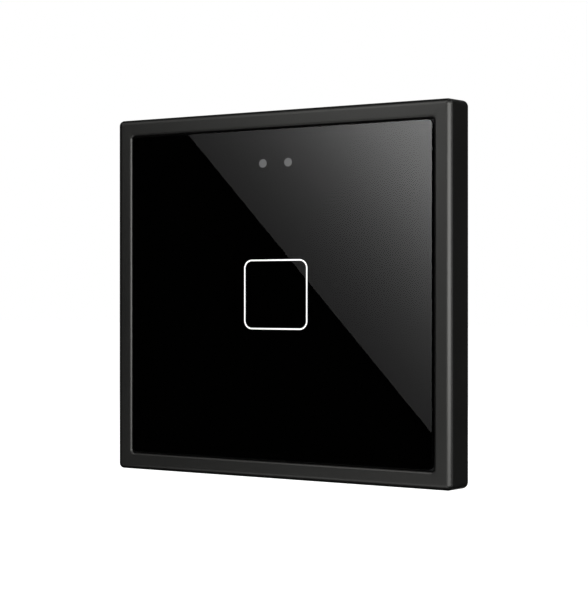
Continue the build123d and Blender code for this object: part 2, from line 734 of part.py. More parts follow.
def rear_housing():
    """The housing behind the yoke: shell, screw bosses, terminal bay, vents and label field."""
    body = slab(fillet(housing_outline(0).vertices(), HOUSING_EDGE_ROUND), 0, HOUSING_DEPTH)
    body = fillet(rear_face(body).edges(), HOUSING_REAR_ROUND)
    body -= slab(housing_outline(HOUSING_WALL), -SLACK, HOUSING_INSIDE)
    for vent in housing_vents():
        body -= vent
    inside = slab(housing_outline(HOUSING_WALL / 2), POWER_BOARD_BACK + SEAT_GAP, HOUSING_INSIDE)
    body += inside & slab(housing_bay(BAY_WALL), POWER_BOARD_BACK, HOUSING_DEPTH)
    body -= slab(housing_bay(0), POWER_BOARD_BACK, HOUSING_DEPTH + SLACK)
    for x, z in clamp_places():
        body += slab(disc(x, z, CLAMP_BOSS), POWER_BOARD_BACK + SEAT_GAP, HOUSING_INSIDE)
        body += slab(disc(x, z, CLAMP_NECK), SEAT_GAP, POWER_BOARD_BACK + SEAT_GAP)
        body -= slab(disc(x, z, CLAMP_SHANK + 2 * CLAMP_HOLE_GAP), -SLACK, HOUSING_DEPTH)
        sink = disc(x, z, CLAMP_HEAD + 2 * CLAMP_HEAD_GAP)
        body -= slab(sink, HOUSING_DEPTH - CLAMP_SINK, HOUSING_DEPTH + SLACK)
    label = Pos(0, LABEL_RISE) * RectangleRounded(LABEL_WIDTH, LABEL_HEIGHT, LABEL_CORNER)
    return body - slab(label, HOUSING_DEPTH - LABEL_DEPTH, HOUSING_DEPTH + SLACK)


def housing_screws():
    """The four long screws, from the back of the housing into the tray."""
    screws = []
    seat = HOUSING_DEPTH - CLAMP_SINK
    head_back = seat + CLAMP_HEAD_HEIGHT
    for x, z in clamp_places():
        head = slab(disc(x, z, CLAMP_HEAD), seat, head_back)
        head = fillet(rear_face(head).edges(), CLAMP_HEAD_HEIGHT / 2)
        body = head + slab(disc(x, z, CLAMP_SHANK), clamp_tip(), seat)
        screws.append((body - cross_recess(x, z, CLAMP_RECESS, head_back, -1)).solid())
    return Compound(children=screws)


def power_pcb():
    """The power board, holed for the housing's bosses and slotted for the bus bars."""
    outline = housing_outline(HOUSING_WALL + BOARD_GAP)
    for x, z in clamp_places():
        outline -= disc(x, z, CLAMP_NECK + 2 * BOARD_HOLE_GAP)
    for x in TERMINAL_XS:
        outline -= patch(x, bar_leg_z(), BAR_WIDTH + 2 * BAR_GAP, BAR_THICK + 2 * BAR_GAP)
    return slab(outline, POWER_BOARD_FRONT, POWER_BOARD_BACK)


def relay():
    """The relay's case at the left of the power board."""
    width, height, _ = RELAY_SIZE
    body = block(relay_right() - width / 2, boss_side() - height / 2, RELAY_SIZE, POWER_BOARD_BACK)
    return fillet(rear_face(body).edges(), RELAY_ROUND)


def boss_side():
    """How far from the middle a part reaches when it keeps one gap to the housing's screw bosses."""
    return CLAMP_HALF_PITCH - CLAMP_BOSS / 2 - PART_GAP


def relay_right():
    """The relay's right side, one gap and its width from the housing's wall."""
    return -INNER_HALF + PART_GAP + RELAY_SIZE[0]


def transformer_centre():
    """The transformer's place, one gap to the right of the relay."""
    width, height, _ = TRANSFORMER_SIZE
    return relay_right() + PART_GAP + width / 2, TRANSFORMER_BOTTOM + height / 2


def transformer_core():
    """The ferrite core: two crossbars joined by outer legs and a round middle leg."""
    width, height, depth = TRANSFORMER_SIZE
    x, z = transformer_centre()
    base = POWER_BOARD_BACK + TRANSFORMER_YOKE
    body = block(x, z, (width, height, depth - TRANSFORMER_YOKE), base)
    hollow = block(x, z, (width - 2 * TRANSFORMER_LEG, height, core_gap()), base + TRANSFORMER_LEG)
    centre = slab(disc(x, z, TRANSFORMER_LEG * 2), base, base + depth - TRANSFORMER_YOKE)
    return body - hollow + centre


def core_gap():
    """The height of the core's window."""
    return TRANSFORMER_SIZE[2] - TRANSFORMER_YOKE - 2 * TRANSFORMER_LEG


def transformer_winding():
    """The winding round the core's middle leg, and the foot that holds it on the board."""
    x, z = transformer_centre()
    width, height, _ = TRANSFORMER_SIZE
    front = POWER_BOARD_BACK + TRANSFORMER_YOKE + TRANSFORMER_LEG
    outer = disc(x, z, width - 2 * (TRANSFORMER_LEG + WINDING_GAP))
    ring = outer - disc(x, z, 2 * (TRANSFORMER_LEG + WINDING_GAP))
    coil = slab(ring, front + WINDING_GAP, front + core_gap() - WINDING_GAP)
    foot = block(x, z, (width, height, TRANSFORMER_YOKE), POWER_BOARD_BACK)
    return Compound(children=[coil.solid(), foot.solid()])


def film_capacitor():
    """The boxed capacitor above the relay and the transformer, beside the surge absorber."""
    width, height, _ = FILM_CAPACITOR_SIZE
    x = varistor_x() - VARISTOR_DIAMETER / 2 - PART_GAP - width / 2
    z = boss_side() + PART_GAP + height / 2
    body = block(x, z, FILM_CAPACITOR_SIZE, POWER_BOARD_BACK)
    return fillet(rear_face(body).edges(), FILM_CAPACITOR_ROUND)


def electrolytic_x():
    """The place across of the round capacitors, one gap to the right of the transformer."""
    return transformer_centre()[0] + TRANSFORMER_SIZE[0] / 2 + PART_GAP + ELECTROLYTIC_DIAMETER / 2


def electrolytic_capacitors():
    """The round capacitors, one above the other, each with its crimped groove."""
    cans = []
    x = electrolytic_x()
    can_back = POWER_BOARD_BACK + ELECTROLYTIC_HEIGHT
    groove_front = POWER_BOARD_BACK + ELECTROLYTIC_BASE
    for i in range(ELECTROLYTIC_COUNT):
        z = ELECTROLYTIC_BOTTOM + ELECTROLYTIC_DIAMETER / 2 + i * (ELECTROLYTIC_DIAMETER + PART_GAP)
        can = slab(disc(x, z, ELECTROLYTIC_DIAMETER), POWER_BOARD_BACK, can_back)
        can = fillet(rear_face(can).edges(), ELECTROLYTIC_ROUND)
        waist = disc(x, z, ELECTROLYTIC_DIAMETER - 2 * ELECTROLYTIC_GROOVE)
        ring = disc(x, z, ELECTROLYTIC_DIAMETER + SLACK) - waist
        can -= slab(ring, groove_front, groove_front + ELECTROLYTIC_GROOVE_WIDTH)
        cans.append(can.solid())
    return Compound(children=cans)


def electrolytic_top():
    """The upper side of the topmost round capacitor."""
    return ELECTROLYTIC_BOTTOM + ELECTROLYTIC_COUNT * (ELECTROLYTIC_DIAMETER + PART_GAP) - PART_GAP


def varistor_x():
    """The surge absorber's place across, one gap to the left of the screw boss."""
    return boss_side() - VARISTOR_DIAMETER / 2


def varistor():
    """The surge absorber, a disc that stands on its edge on a short foot."""
    z = electrolytic_top() + PART_GAP + VARISTOR_THICK / 2
    centre_y = POWER_BOARD_BACK + VARISTOR_STAND + VARISTOR_DIAMETER / 2
    turned = Plane(origin=(varistor_x(), centre_y, z), z_dir=(0, 0, 1))
    body = extrude(turned * Circle(VARISTOR_DIAMETER / 2), amount=VARISTOR_THICK / 2, both=True)
    foot = patch(varistor_x(), z, VARISTOR_FOOT, VARISTOR_THICK)
    return body + slab(foot, POWER_BOARD_BACK, centre_y)


def fuse():
    """The small round fuse."""
    body = slab(disc(*FUSE_PLACE, FUSE_DIAMETER), POWER_BOARD_BACK, POWER_BOARD_BACK + FUSE_HEIGHT)
    return fillet(rear_face(body).edges(), FUSE_ROUND)


def bridge_rectifier():
    """The rectifier's flat block."""
    return block(*BRIDGE_PLACE, BRIDGE_SIZE, POWER_BOARD_BACK)


def choke():
    """The choke, a drum with a narrower waist."""
    back = POWER_BOARD_BACK + CHOKE_HEIGHT
    body = slab(disc(*CHOKE_PLACE, CHOKE_DIAMETER), POWER_BOARD_BACK, back)
    waist = disc(*CHOKE_PLACE, CHOKE_DIAMETER - 2 * CHOKE_WAIST)
    ring = disc(*CHOKE_PLACE, CHOKE_DIAMETER + SLACK) - waist
    return body - slab(ring, POWER_BOARD_BACK + CHOKE_FLANGE, back - CHOKE_FLANGE)


def supply_chip():
    """The chip that controls the supply."""
    return block(*SUPPLY_CHIP_PLACE, SUPPLY_CHIP_SIZE, POWER_BOARD_BACK)


def bar_leg_z():
    """The bus bar's leg, set in the terminal block's inner wall."""
    return CAVITY_TOP + BAR_WEB + BAR_THICK / 2 + BAR_GAP


def bus_bar(x, bottom, grow):
    """One L-shaped bus bar, tongue and leg, or the room that it needs when it is widened by a gap."""
    width = BAR_WIDTH + 2 * grow
    low = bar_leg_z() - BAR_THICK / 2 - grow
    high = bar_leg_z() + BAR_THICK / 2 + grow
    tongue = slab(patch(x, (bottom + high) / 2, width, high - bottom), BAR_FRONT - grow, BAR_BACK + grow)
    leg = slab(patch(x, (low + high) / 2, width, high - low), POWER_BOARD_FRONT - BAR_STUB, BAR_BACK + grow)
    return tongue + leg


def terminal_busbars():
    """The bars that the wires are clamped against, with a pin down through the power board."""
    bottom = SCREW_Z - CAGE_LENGTH / 2
    return Compound(children=[bus_bar(x, bottom, 0).solid() for x in TERMINAL_XS])


def terminal_block(x):
    """One terminal's moulded block, with its wire entry, cage cavity and screw well."""
    middle = (BLOCK_BOTTOM + BLOCK_TOP) / 2
    outline = patch(x, middle, BLOCK_WIDTH, BLOCK_TOP - BLOCK_BOTTOM)
    body = slab(outline, POWER_BOARD_BACK, BLOCK_BACK)
    body = chamfer(rear_face(body).edges(), BLOCK_CHAMFER)
    cavity = patch(x, SCREW_Z, CAGE_WIDTH + 2 * CAGE_GAP, CAVITY_TOP - CAVITY_BOTTOM)
    body -= slab(cavity, CAVITY_FRONT, CAVITY_BACK)
    body -= slab(disc(x, SCREW_Z, TERMINAL_SHANK + 2 * BLOCK_BORE_GAP), CAVITY_BACK, HEAD_SEAT)
    body -= slab(disc(x, SCREW_Z, TERMINAL_HEAD + 2 * BLOCK_BORE_GAP), HEAD_SEAT, LIP_FRONT)
    body -= slab(disc(x, SCREW_Z, TERMINAL_MOUTH), LIP_FRONT, BLOCK_BACK + SLACK)
    entry = Plane(origin=(x, WIRE_DEPTH, BLOCK_BOTTOM), z_dir=(0, 0, 1))
    body -= extrude(entry * Circle(WIRE_BORE / 2), amount=BLOCK_FRONT_WALL)
    funnel = entry * Circle(WIRE_BORE / 2 + WIRE_FUNNEL)
    body -= extrude(funnel, amount=WIRE_FUNNEL, taper=FUNNEL_ANGLE)
    body -= bus_bar(x, CAVITY_TOP, BAR_GAP)
    return body


def terminal_cage(x):
    """One clamping cage: a square loop whose upper bar is the nut."""
    outline = patch(x, SCREW_Z, CAGE_WIDTH, CAGE_LENGTH)
    body = slab(outline, CAGE_FRONT, CAGE_BACK)
    body -= slab(patch(x, SCREW_Z, CAGE_WIDTH - 2 * CAGE_WALL, CAGE_LENGTH + SLACK), CLAMP_FACE, NUT_FRONT)
    return body - slab(disc(x, SCREW_Z, TERMINAL_SHANK + 2 * NUT_CLEARANCE), NUT_FRONT, CAGE_BACK)


def terminal_screw(x):
    """One captive terminal screw with a slotted head."""
    head = slab(disc(x, SCREW_Z, TERMINAL_HEAD), HEAD_FRONT, HEAD_BACK)
    head = chamfer(rear_face(head).edges(), TERMINAL_HEAD_CHAMFER)
    body = head + slab(disc(x, SCREW_Z, TERMINAL_SHANK), SCREW_TIP, HEAD_FRONT)
    slot = patch(x, SCREW_Z, TERMINAL_HEAD + SLACK, TERMINAL_SLOT)
    return body - slab(slot, HEAD_BACK - TERMINAL_SLOT_DEPTH, HEAD_BACK + SLACK)


def pieces():
    """Every node's name and its shape."""
    made = {
        "outer_frame": outer_frame(),
        "glass_panel": glass_panel(),
        "mask_film": mask_film(),
        "symbol_inlay": symbol_inlay(),
        "window_inlays": window_inlays(),
        "panel_tape": panel_tape(),
        "panel_carrier": panel_carrier(),
        "mounting_yoke": mounting_yoke(),
        "front_tray": front_tray(),
        "touch_pcb": touch_pcb(),
        "touch_spring": touch_spring(),
        "light_guide": light_guide(),
        "symbol_leds": symbol_leds(),
        "window_shroud": window_shroud(),
        "indicator_led": window_sensor(-1),
        "infrared_receiver": window_sensor(1),
        "touch_chip": touch_chip(),
        "chip_resistors": chip_resistors(),
        "chip_capacitors": chip_capacitors(),
        "board_screws": board_screws(),
        "header_block": header_block(),
        "header_pins": header_pins(),
        "header_socket": header_socket(),
        "rear_housing": rear_housing(),
        "housing_screws": housing_screws(),
        "power_pcb": power_pcb(),
        "relay": relay(),
        "transformer_core": transformer_core(),
        "transformer_winding": transformer_winding(),
        "film_capacitor": film_capacitor(),
        "electrolytic_capacitors": electrolytic_capacitors(),
        "varistor": varistor(),
        "fuse": fuse(),
        "bridge_rectifier": bridge_rectifier(),
        "choke": choke(),
        "supply_chip": supply_chip(),
        "terminal_busbars": terminal_busbars(),
    }
    for number, x in enumerate(TERMINAL_XS, start=1):
        made[f"terminal_block_{number}"] = terminal_block(x)
        made[f"terminal_cage_{number}"] = terminal_cage(x)
        made[f"terminal_screw_{number}"] = terminal_screw(x)
    return made


os.makedirs("parts", exist_ok=True)
for name, shape in pieces().items():
    export_step(shape, f"parts/{name}.step")
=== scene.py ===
"""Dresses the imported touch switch: its frame, glass panel, inner works, studio and camera."""

import json
import logging
import math
from collections.abc import Sequence
from dataclasses import dataclass
from enum import Enum

import bmesh
import bpy
import numpy as np
from mathutils import Matrix


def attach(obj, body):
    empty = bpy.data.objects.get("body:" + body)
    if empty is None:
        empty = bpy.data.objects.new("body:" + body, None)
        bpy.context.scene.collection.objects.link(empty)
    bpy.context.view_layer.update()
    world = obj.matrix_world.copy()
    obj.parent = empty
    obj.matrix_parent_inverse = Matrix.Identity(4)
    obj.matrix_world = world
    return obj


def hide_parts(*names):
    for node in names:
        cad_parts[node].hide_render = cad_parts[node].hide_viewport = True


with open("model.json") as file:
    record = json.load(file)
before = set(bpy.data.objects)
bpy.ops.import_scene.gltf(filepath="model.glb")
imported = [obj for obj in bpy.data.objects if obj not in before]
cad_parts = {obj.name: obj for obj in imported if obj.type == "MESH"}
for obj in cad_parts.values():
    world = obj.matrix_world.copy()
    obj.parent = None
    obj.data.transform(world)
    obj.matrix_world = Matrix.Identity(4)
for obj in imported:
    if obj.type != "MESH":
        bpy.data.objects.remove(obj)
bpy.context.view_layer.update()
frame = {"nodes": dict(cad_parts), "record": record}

LOG = logging.getLogger("touch_switch")
MM = 0.001
QUARTER = math.pi / 2
LARGE_FACES_LEAD = 100

Colour = tuple[float, float, float]
Vec3 = tuple[float, float, float]
Pair = tuple[float, float]
Socket = bpy.types.NodeSocket
Effect = tuple[Socket, Socket, Socket]

# The symbol's lit line, in metres: the centre of its corners, their radius, and how far off its
# middle the line is still solid and how far off it is gone.
SYMBOL_LINE = (0.00604, 0.00184, 0.00009, 0.00021)


class Pattern(Enum):
    """The surface effects; each is one shader node group."""

    MOULDED = "moulded_grain"
    BRUSHED = "brushed_grain"
    CLOUDED = "clouded_plating"
    TRACKED = "board_tracks"
    SPECKLED = "fine_speckle"
    CELLULAR = "foam_cells"
    DRAWN_LINE = "drawn_line"


class Mirror(Enum):
    """Which mirrors show a card of the studio: all, only dull ones, or only sharp ones such as glass."""

    ALL = "all"
    DULL = "dull"
    SHARP = "sharp"


class Wiring:
    """Places and joins the nodes of one node tree."""

    def __init__(self, tree: bpy.types.NodeTree) -> None:
        """Keeps the tree that the nodes go into."""
        self.tree = tree

    def fill(self, node: bpy.types.Node, sockets: dict[int | str, object]) -> bpy.types.Node:
        """Fills or links a node's inputs.

        Args:
            node: The node.
            sockets: What each input gets, by name or number: a value, or a socket to link from.

        Returns:
            The same node.
        """
        for key, value in sockets.items():
            if isinstance(value, Socket):
                self.tree.links.new(value, node.inputs[key])
            else:
                node.inputs[key].default_value = value
        return node

    def add(
        self, kind: str, sockets: dict[int | str, object] | None = None, **settings: object
    ) -> bpy.types.Node:
        """Adds a node, sets its own settings, and fills or links its inputs.

        Args:
            kind: The node's type name.
            sockets: What each input gets, as fill takes it.
            settings: The node's own settings.

        Returns:
            The new node.
        """
        node = self.tree.nodes.new(kind)
        for key, value in settings.items():
            setattr(node, key, value)
        return self.fill(node, sockets or {})

    def math(self, operation: str, *values: object, clamp: bool = False) -> Socket:
        """Adds a Math node and returns its value."""
        node = self.add("ShaderNodeMath", dict(enumerate(values)), operation=operation, use_clamp=clamp)
        return node.outputs[0]

    def vector(self, operation: str, *values: object, output: str = "Vector") -> Socket:
        """Adds a Vector Math node and returns one of its outputs."""
        node = self.add("ShaderNodeVectorMath", dict(enumerate(values)), operation=operation)
        return node.outputs[output]

    def ramp(
        self, value: object, low: float, high: float, to_low: object = 0.0, to_high: object = 1.0
    ) -> Socket:
        """Maps a value's range from low to high onto to_low to to_high, held at both ends."""
        sockets = {"Value": value, "From Min": low, "From Max": high, "To Min": to_low, "To Max": to_high}
        return self.add("ShaderNodeMapRange", sockets).outputs["Result"]

    def weighed(self, *parts: tuple[object, float]) -> Socket:
        """Adds up values, each times its weight, held between nought and one.

        Args:
            parts: The values, each with its weight.

        Returns:
            The sum.
        """
        total: object = 0.0
        for value, weight in parts:
            total = self.math("MULTIPLY_ADD", value, weight, total, clamp=True)
        return total

    def mix(self, factor: object, first: object, second: object) -> Socket:
        """Mixes two colours and returns the result."""
        node = self.add("ShaderNodeMix", {0: factor, 6: first, 7: second}, data_type="RGBA")
        return node.outputs[2]

    def soft_ramp(self, place: object, level: float, start: float, rise: Vec3) -> Socket:
        """A light that rises with the place and stops softly at a level.

        It is the level times one minus e to the minus r, where r is e to the power of the start plus the
        dot product of the place and the rise, over the level.

        Args:
            place: The place, as a vector socket.
            level: Where the light stops.
            start: The power at the origin.
            rise: How much the power rises in a metre along each axis.

        Returns:
            The light's strength.
        """
        along = self.vector("DOT_PRODUCT", place, rise, output="Value")
        ratio = self.math("DIVIDE", self.math("EXPONENT", self.math("ADD", along, start)), -level)
        return self.math("MULTIPLY_ADD", self.math("EXPONENT", ratio), -level, level)

    def light(self, strength: object) -> Socket:
        """Adds white light of a strength and returns its shader."""
        return self.add("ShaderNodeEmission", {"Strength": strength}).outputs[0]

    def mix_shaders(self, factor: object, first: Socket, second: Socket) -> Socket:
        """Mixes two shaders and returns the result."""
        return self.add("ShaderNodeMixShader", {0: factor, 1: first, 2: second}).outputs[0]

    def clear(self) -> Socket:
        """Adds a fully clear surface and returns its shader."""
        return self.add("ShaderNodeBsdfTransparent").outputs[0]

    def show(self, surface: Socket) -> None:
        """Makes a shader the material's surface."""
        self.add("ShaderNodeOutputMaterial", {"Surface": surface})


class EffectWiring(Wiring):
    """Makes the node group of a surface effect; each effect is a method, and all share their sockets."""

    INPUTS = (
        ("Vector", "NodeSocketVector"),
        ("Scale", "NodeSocketFloat"),
        ("Base", "NodeSocketColor"),
        ("Second", "NodeSocketColor"),
        ("Smoothest", "NodeSocketFloat"),
        ("Roughest", "NodeSocketFloat"),
    )
    OUTPUTS = (
        ("Color", "NodeSocketColor"),
        ("Roughness", "NodeSocketFloat"),
        ("Height", "NodeSocketFloat"),
    )
    FRONT_PLANE = (1.0, 0.0, 1.0)

    def __init__(self, pattern: Pattern) -> None:
        """Makes the group: its sockets, the effect, and the two colours and roughnesses that it blends.

        Args:
            pattern: Which surface effect. Its scale is in grains, lines, clouds or cells in a metre.
        """
        super().__init__(bpy.data.node_groups.new(pattern.value, "ShaderNodeTree"))
        for way, sockets in (("INPUT", self.INPUTS), ("OUTPUT", self.OUTPUTS)):
            for name, kind in sockets:
                self.tree.interface.new_socket(name, in_out=way, socket_type=kind)
        source = self.add("NodeGroupInput").outputs
        self.place, self.scale = source["Vector"], source["Scale"]
        blend, rough, height = getattr(self, pattern.name.lower())()
        colour = self.mix(blend, source["Base"], source["Second"])
        roughness = self.ramp(rough, 0.0, 1.0, source["Smoothest"], source["Roughest"])
        self.add("NodeGroupOutput", {"Color": colour, "Roughness": roughness, "Height": height})

    def noise(
        self, times: float = 1.0, detail: float = 3.0, roughness: float = 0.5, place: Socket | None = None
    ) -> Socket:
        """Adds a Noise Texture.

        Args:
            times: What the group's scale is taken times.
            detail: How many finer layers it has.
            roughness: How strong the finer layers are.
            place: Where it is read, if not at the group's place.

        Returns:
            Its value, about 0.5 in the mean.
        """
        vector = self.place if place is None else place
        scale = self.math("MULTIPLY", self.scale, times)
        sockets = {"Vector": vector, "Scale": scale, "Detail": detail, "Roughness": roughness}
        return self.add("ShaderNodeTexNoise", sockets).outputs["Fac"]

    def cells(self, place: Socket, **settings: str) -> Socket:
        """Adds a Voronoi Texture of the group's scale and returns its distance."""
        sockets = {"Vector": place, "Scale": self.scale}
        return self.add("ShaderNodeTexVoronoi", sockets, **settings).outputs["Distance"]

    def moulded(self) -> Effect:
        """Spark-eroded mould grain over slow flow clouds, with a few pale dust specks.

        Returns:
            The colour blend, the roughness blend and the height.
        """
        grain = self.noise(detail=4.0, roughness=0.62)
        flow = self.ramp(self.noise(times=0.018), low=0.3, high=0.7)
        specks = self.ramp(self.noise(times=0.4, detail=2.0), low=0.72, high=0.78)
        blend = self.weighed((flow, 0.45), (grain, 0.35), (specks, 0.6))
        return blend, self.weighed((flow, 0.6), (grain, 0.4)), grain

    def brushed(self) -> Effect:
        """Fine lines drawn along the piece's upright direction, with faint handling clouds.

        Returns:
            The colour blend, the roughness blend and the height.
        """
        stretched = self.vector("MULTIPLY", self.place, (1.0, 1.0, 0.03))
        lines = self.noise(detail=5.0, roughness=0.7, place=stretched)
        cloud = self.ramp(self.noise(times=0.03), low=0.35, high=0.65)
        blend = self.weighed((lines, 0.6), (cloud, 0.3))
        return blend, self.weighed((lines, 0.5), (cloud, 0.5)), lines

    def clouded(self) -> Effect:
        """Plating with soft clouds of tint, fine pits and thin slanted rub marks.

        Returns:
            The colour blend, the roughness blend and the height.
        """
        cloud = self.ramp(self.noise(detail=4.0, roughness=0.6), low=0.32, high=0.68)
        pits = self.noise(times=12.0, detail=2.0)
        lean = {"Vector": self.place, "Angle": 0.6}
        slanted = self.add("ShaderNodeVectorRotate", lean, rotation_type="Y_AXIS").outputs[0]
        thin = self.vector("MULTIPLY", slanted, (1.0, 1.0, 0.04))
        rubs = self.ramp(self.noise(times=5.0, place=thin), low=0.62, high=0.7)
        blend = self.weighed((pits, 0.3), (cloud, 0.7))
        return blend, self.weighed((rubs, 0.35), (cloud, 0.65)), pits

    def tracked(self) -> Effect:
        """Copper tracks under lacquer: the lines where two square cells meet, and round pads.

        Returns:
            The colour blend, the roughness blend and the height.
        """
        flat = self.vector("MULTIPLY", self.place, self.FRONT_PLANE)
        nearest = self.cells(flat, feature="F1", distance="CHEBYCHEV")
        second = self.cells(flat, feature="F2", distance="CHEBYCHEV")
        apart = self.math("SUBTRACT", second, nearest)
        tracks = self.ramp(apart, low=0.07, high=0.1, to_low=1.0, to_high=0.0)
        pads = self.ramp(self.cells(flat), low=0.14, high=0.17, to_low=1.0, to_high=0.0)
        copper = self.math("MAXIMUM", tracks, pads)
        weave = self.noise(times=6.0)
        return self.weighed((weave, 0.25), (copper, 0.7)), weave, copper

    def speckled(self) -> Effect:
        """Fired or pressed grains of two tints, with slow clouds.

        Returns:
            The colour blend, the roughness blend and the height.
        """
        grain = self.noise(detail=5.0, roughness=0.7)
        cloud = self.noise(times=0.06)
        blend = self.ramp(self.weighed((grain, 0.7), (cloud, 0.3)), low=0.38, high=0.62)
        return blend, self.ramp(cloud, low=0.3, high=0.7), grain

    def drawn_line(self) -> Effect:
        """The symbol's line, which fades at both sides and is a little uneven along it.

        The way out from the square through the centres of the round corners is the length of what is left
        of the place, with its signs dropped, past those centres.

        Returns:
            The colour blend, the roughness blend and the height.
        """
        middle, corner, solid, gone = SYMBOL_LINE
        side = self.vector("ABSOLUTE", self.vector("MULTIPLY", self.place, self.FRONT_PLANE))
        past = self.vector("MAXIMUM", self.vector("SUBTRACT", side, (middle,) * 3), (0.0,) * 3)
        off = self.math("SUBTRACT", self.vector("LENGTH", past, output="Value"), corner)
        fade = self.ramp(self.math("ABSOLUTE", off), low=solid, high=gone)
        grain = self.noise()
        return self.weighed((fade, 1.0), (grain, 0.04)), grain, grain

    def cellular(self) -> Effect:
        """Open foam: rounded cells with thin walls between them.

        Returns:
            The colour blend, the roughness blend and the height.
        """
        cell = self.cells(self.place)
        soft = self.noise(times=0.2)
        return self.weighed((cell, 0.7), (soft, 0.3)), soft, cell


def effect_group(pattern: Pattern) -> bpy.types.NodeTree:
    """Gives a surface effect's node group and makes it the first time."""
    made = bpy.data.node_groups.get(pattern.value)
    return made or EffectWiring(pattern).tree


@dataclass(frozen=True)
class Finish:
    """A surface of one of the patterns, with the shader's plain values."""

    name: str
    pattern: Pattern
    base: Colour
    second: Colour
    roughness: Pair
    scale: float
    relief: float = 0.0
    metallic: float = 0.0
    specular: float = 0.5
    coat: float = 0.0
    coat_roughness: float = 0.1
    transmission: float = 0.0
    index: float = 1.5
    glow: float = 0.0
    shine: Colour = (1.0, 1.0, 1.0)

    def material(self) -> bpy.types.Material:
        """Gives the finish's material and builds it the first time.

        Returns:
            A material whose colour, roughness and relief come from the pattern's group.
        """
        if self.name in bpy.data.materials:
            return bpy.data.materials[self.name]
        material = bpy.data.materials.new(self.name)
        material.use_nodes = True
        wiring = Wiring(material.node_tree)
        surface = wiring.add(
            "ShaderNodeGroup",
            {
                "Vector": wiring.add("ShaderNodeTexCoord").outputs["Object"],
                "Scale": self.scale,
                "Base": (*self.base, 1.0),
                "Second": (*self.second, 1.0),
                "Smoothest": self.roughness[0],
                "Roughest": self.roughness[1],
            },
            node_tree=effect_group(self.pattern),
        ).outputs
        sockets = {
            "Base Color": surface["Color"],
            "Roughness": surface["Roughness"],
            "Metallic": self.metallic,
            "Specular IOR Level": self.specular,
            "Specular Tint": (*self.shine, 1.0),
            "Coat Weight": self.coat,
            "Coat Roughness": self.coat_roughness,
            "Transmission Weight": self.transmission,
            "IOR": self.index,
            "Emission Strength": self.glow,
        }
        if self.relief:
            bump = wiring.add("ShaderNodeBump", {"Distance": self.relief, "Height": surface["Height"]})
            sockets["Normal"] = bump.outputs["Normal"]
        if self.glow:
            sockets["Emission Color"] = surface["Color"]
        wiring.fill(next(n for n in material.node_tree.nodes if n.type == "BSDF_PRINCIPLED"), sockets)
        return material


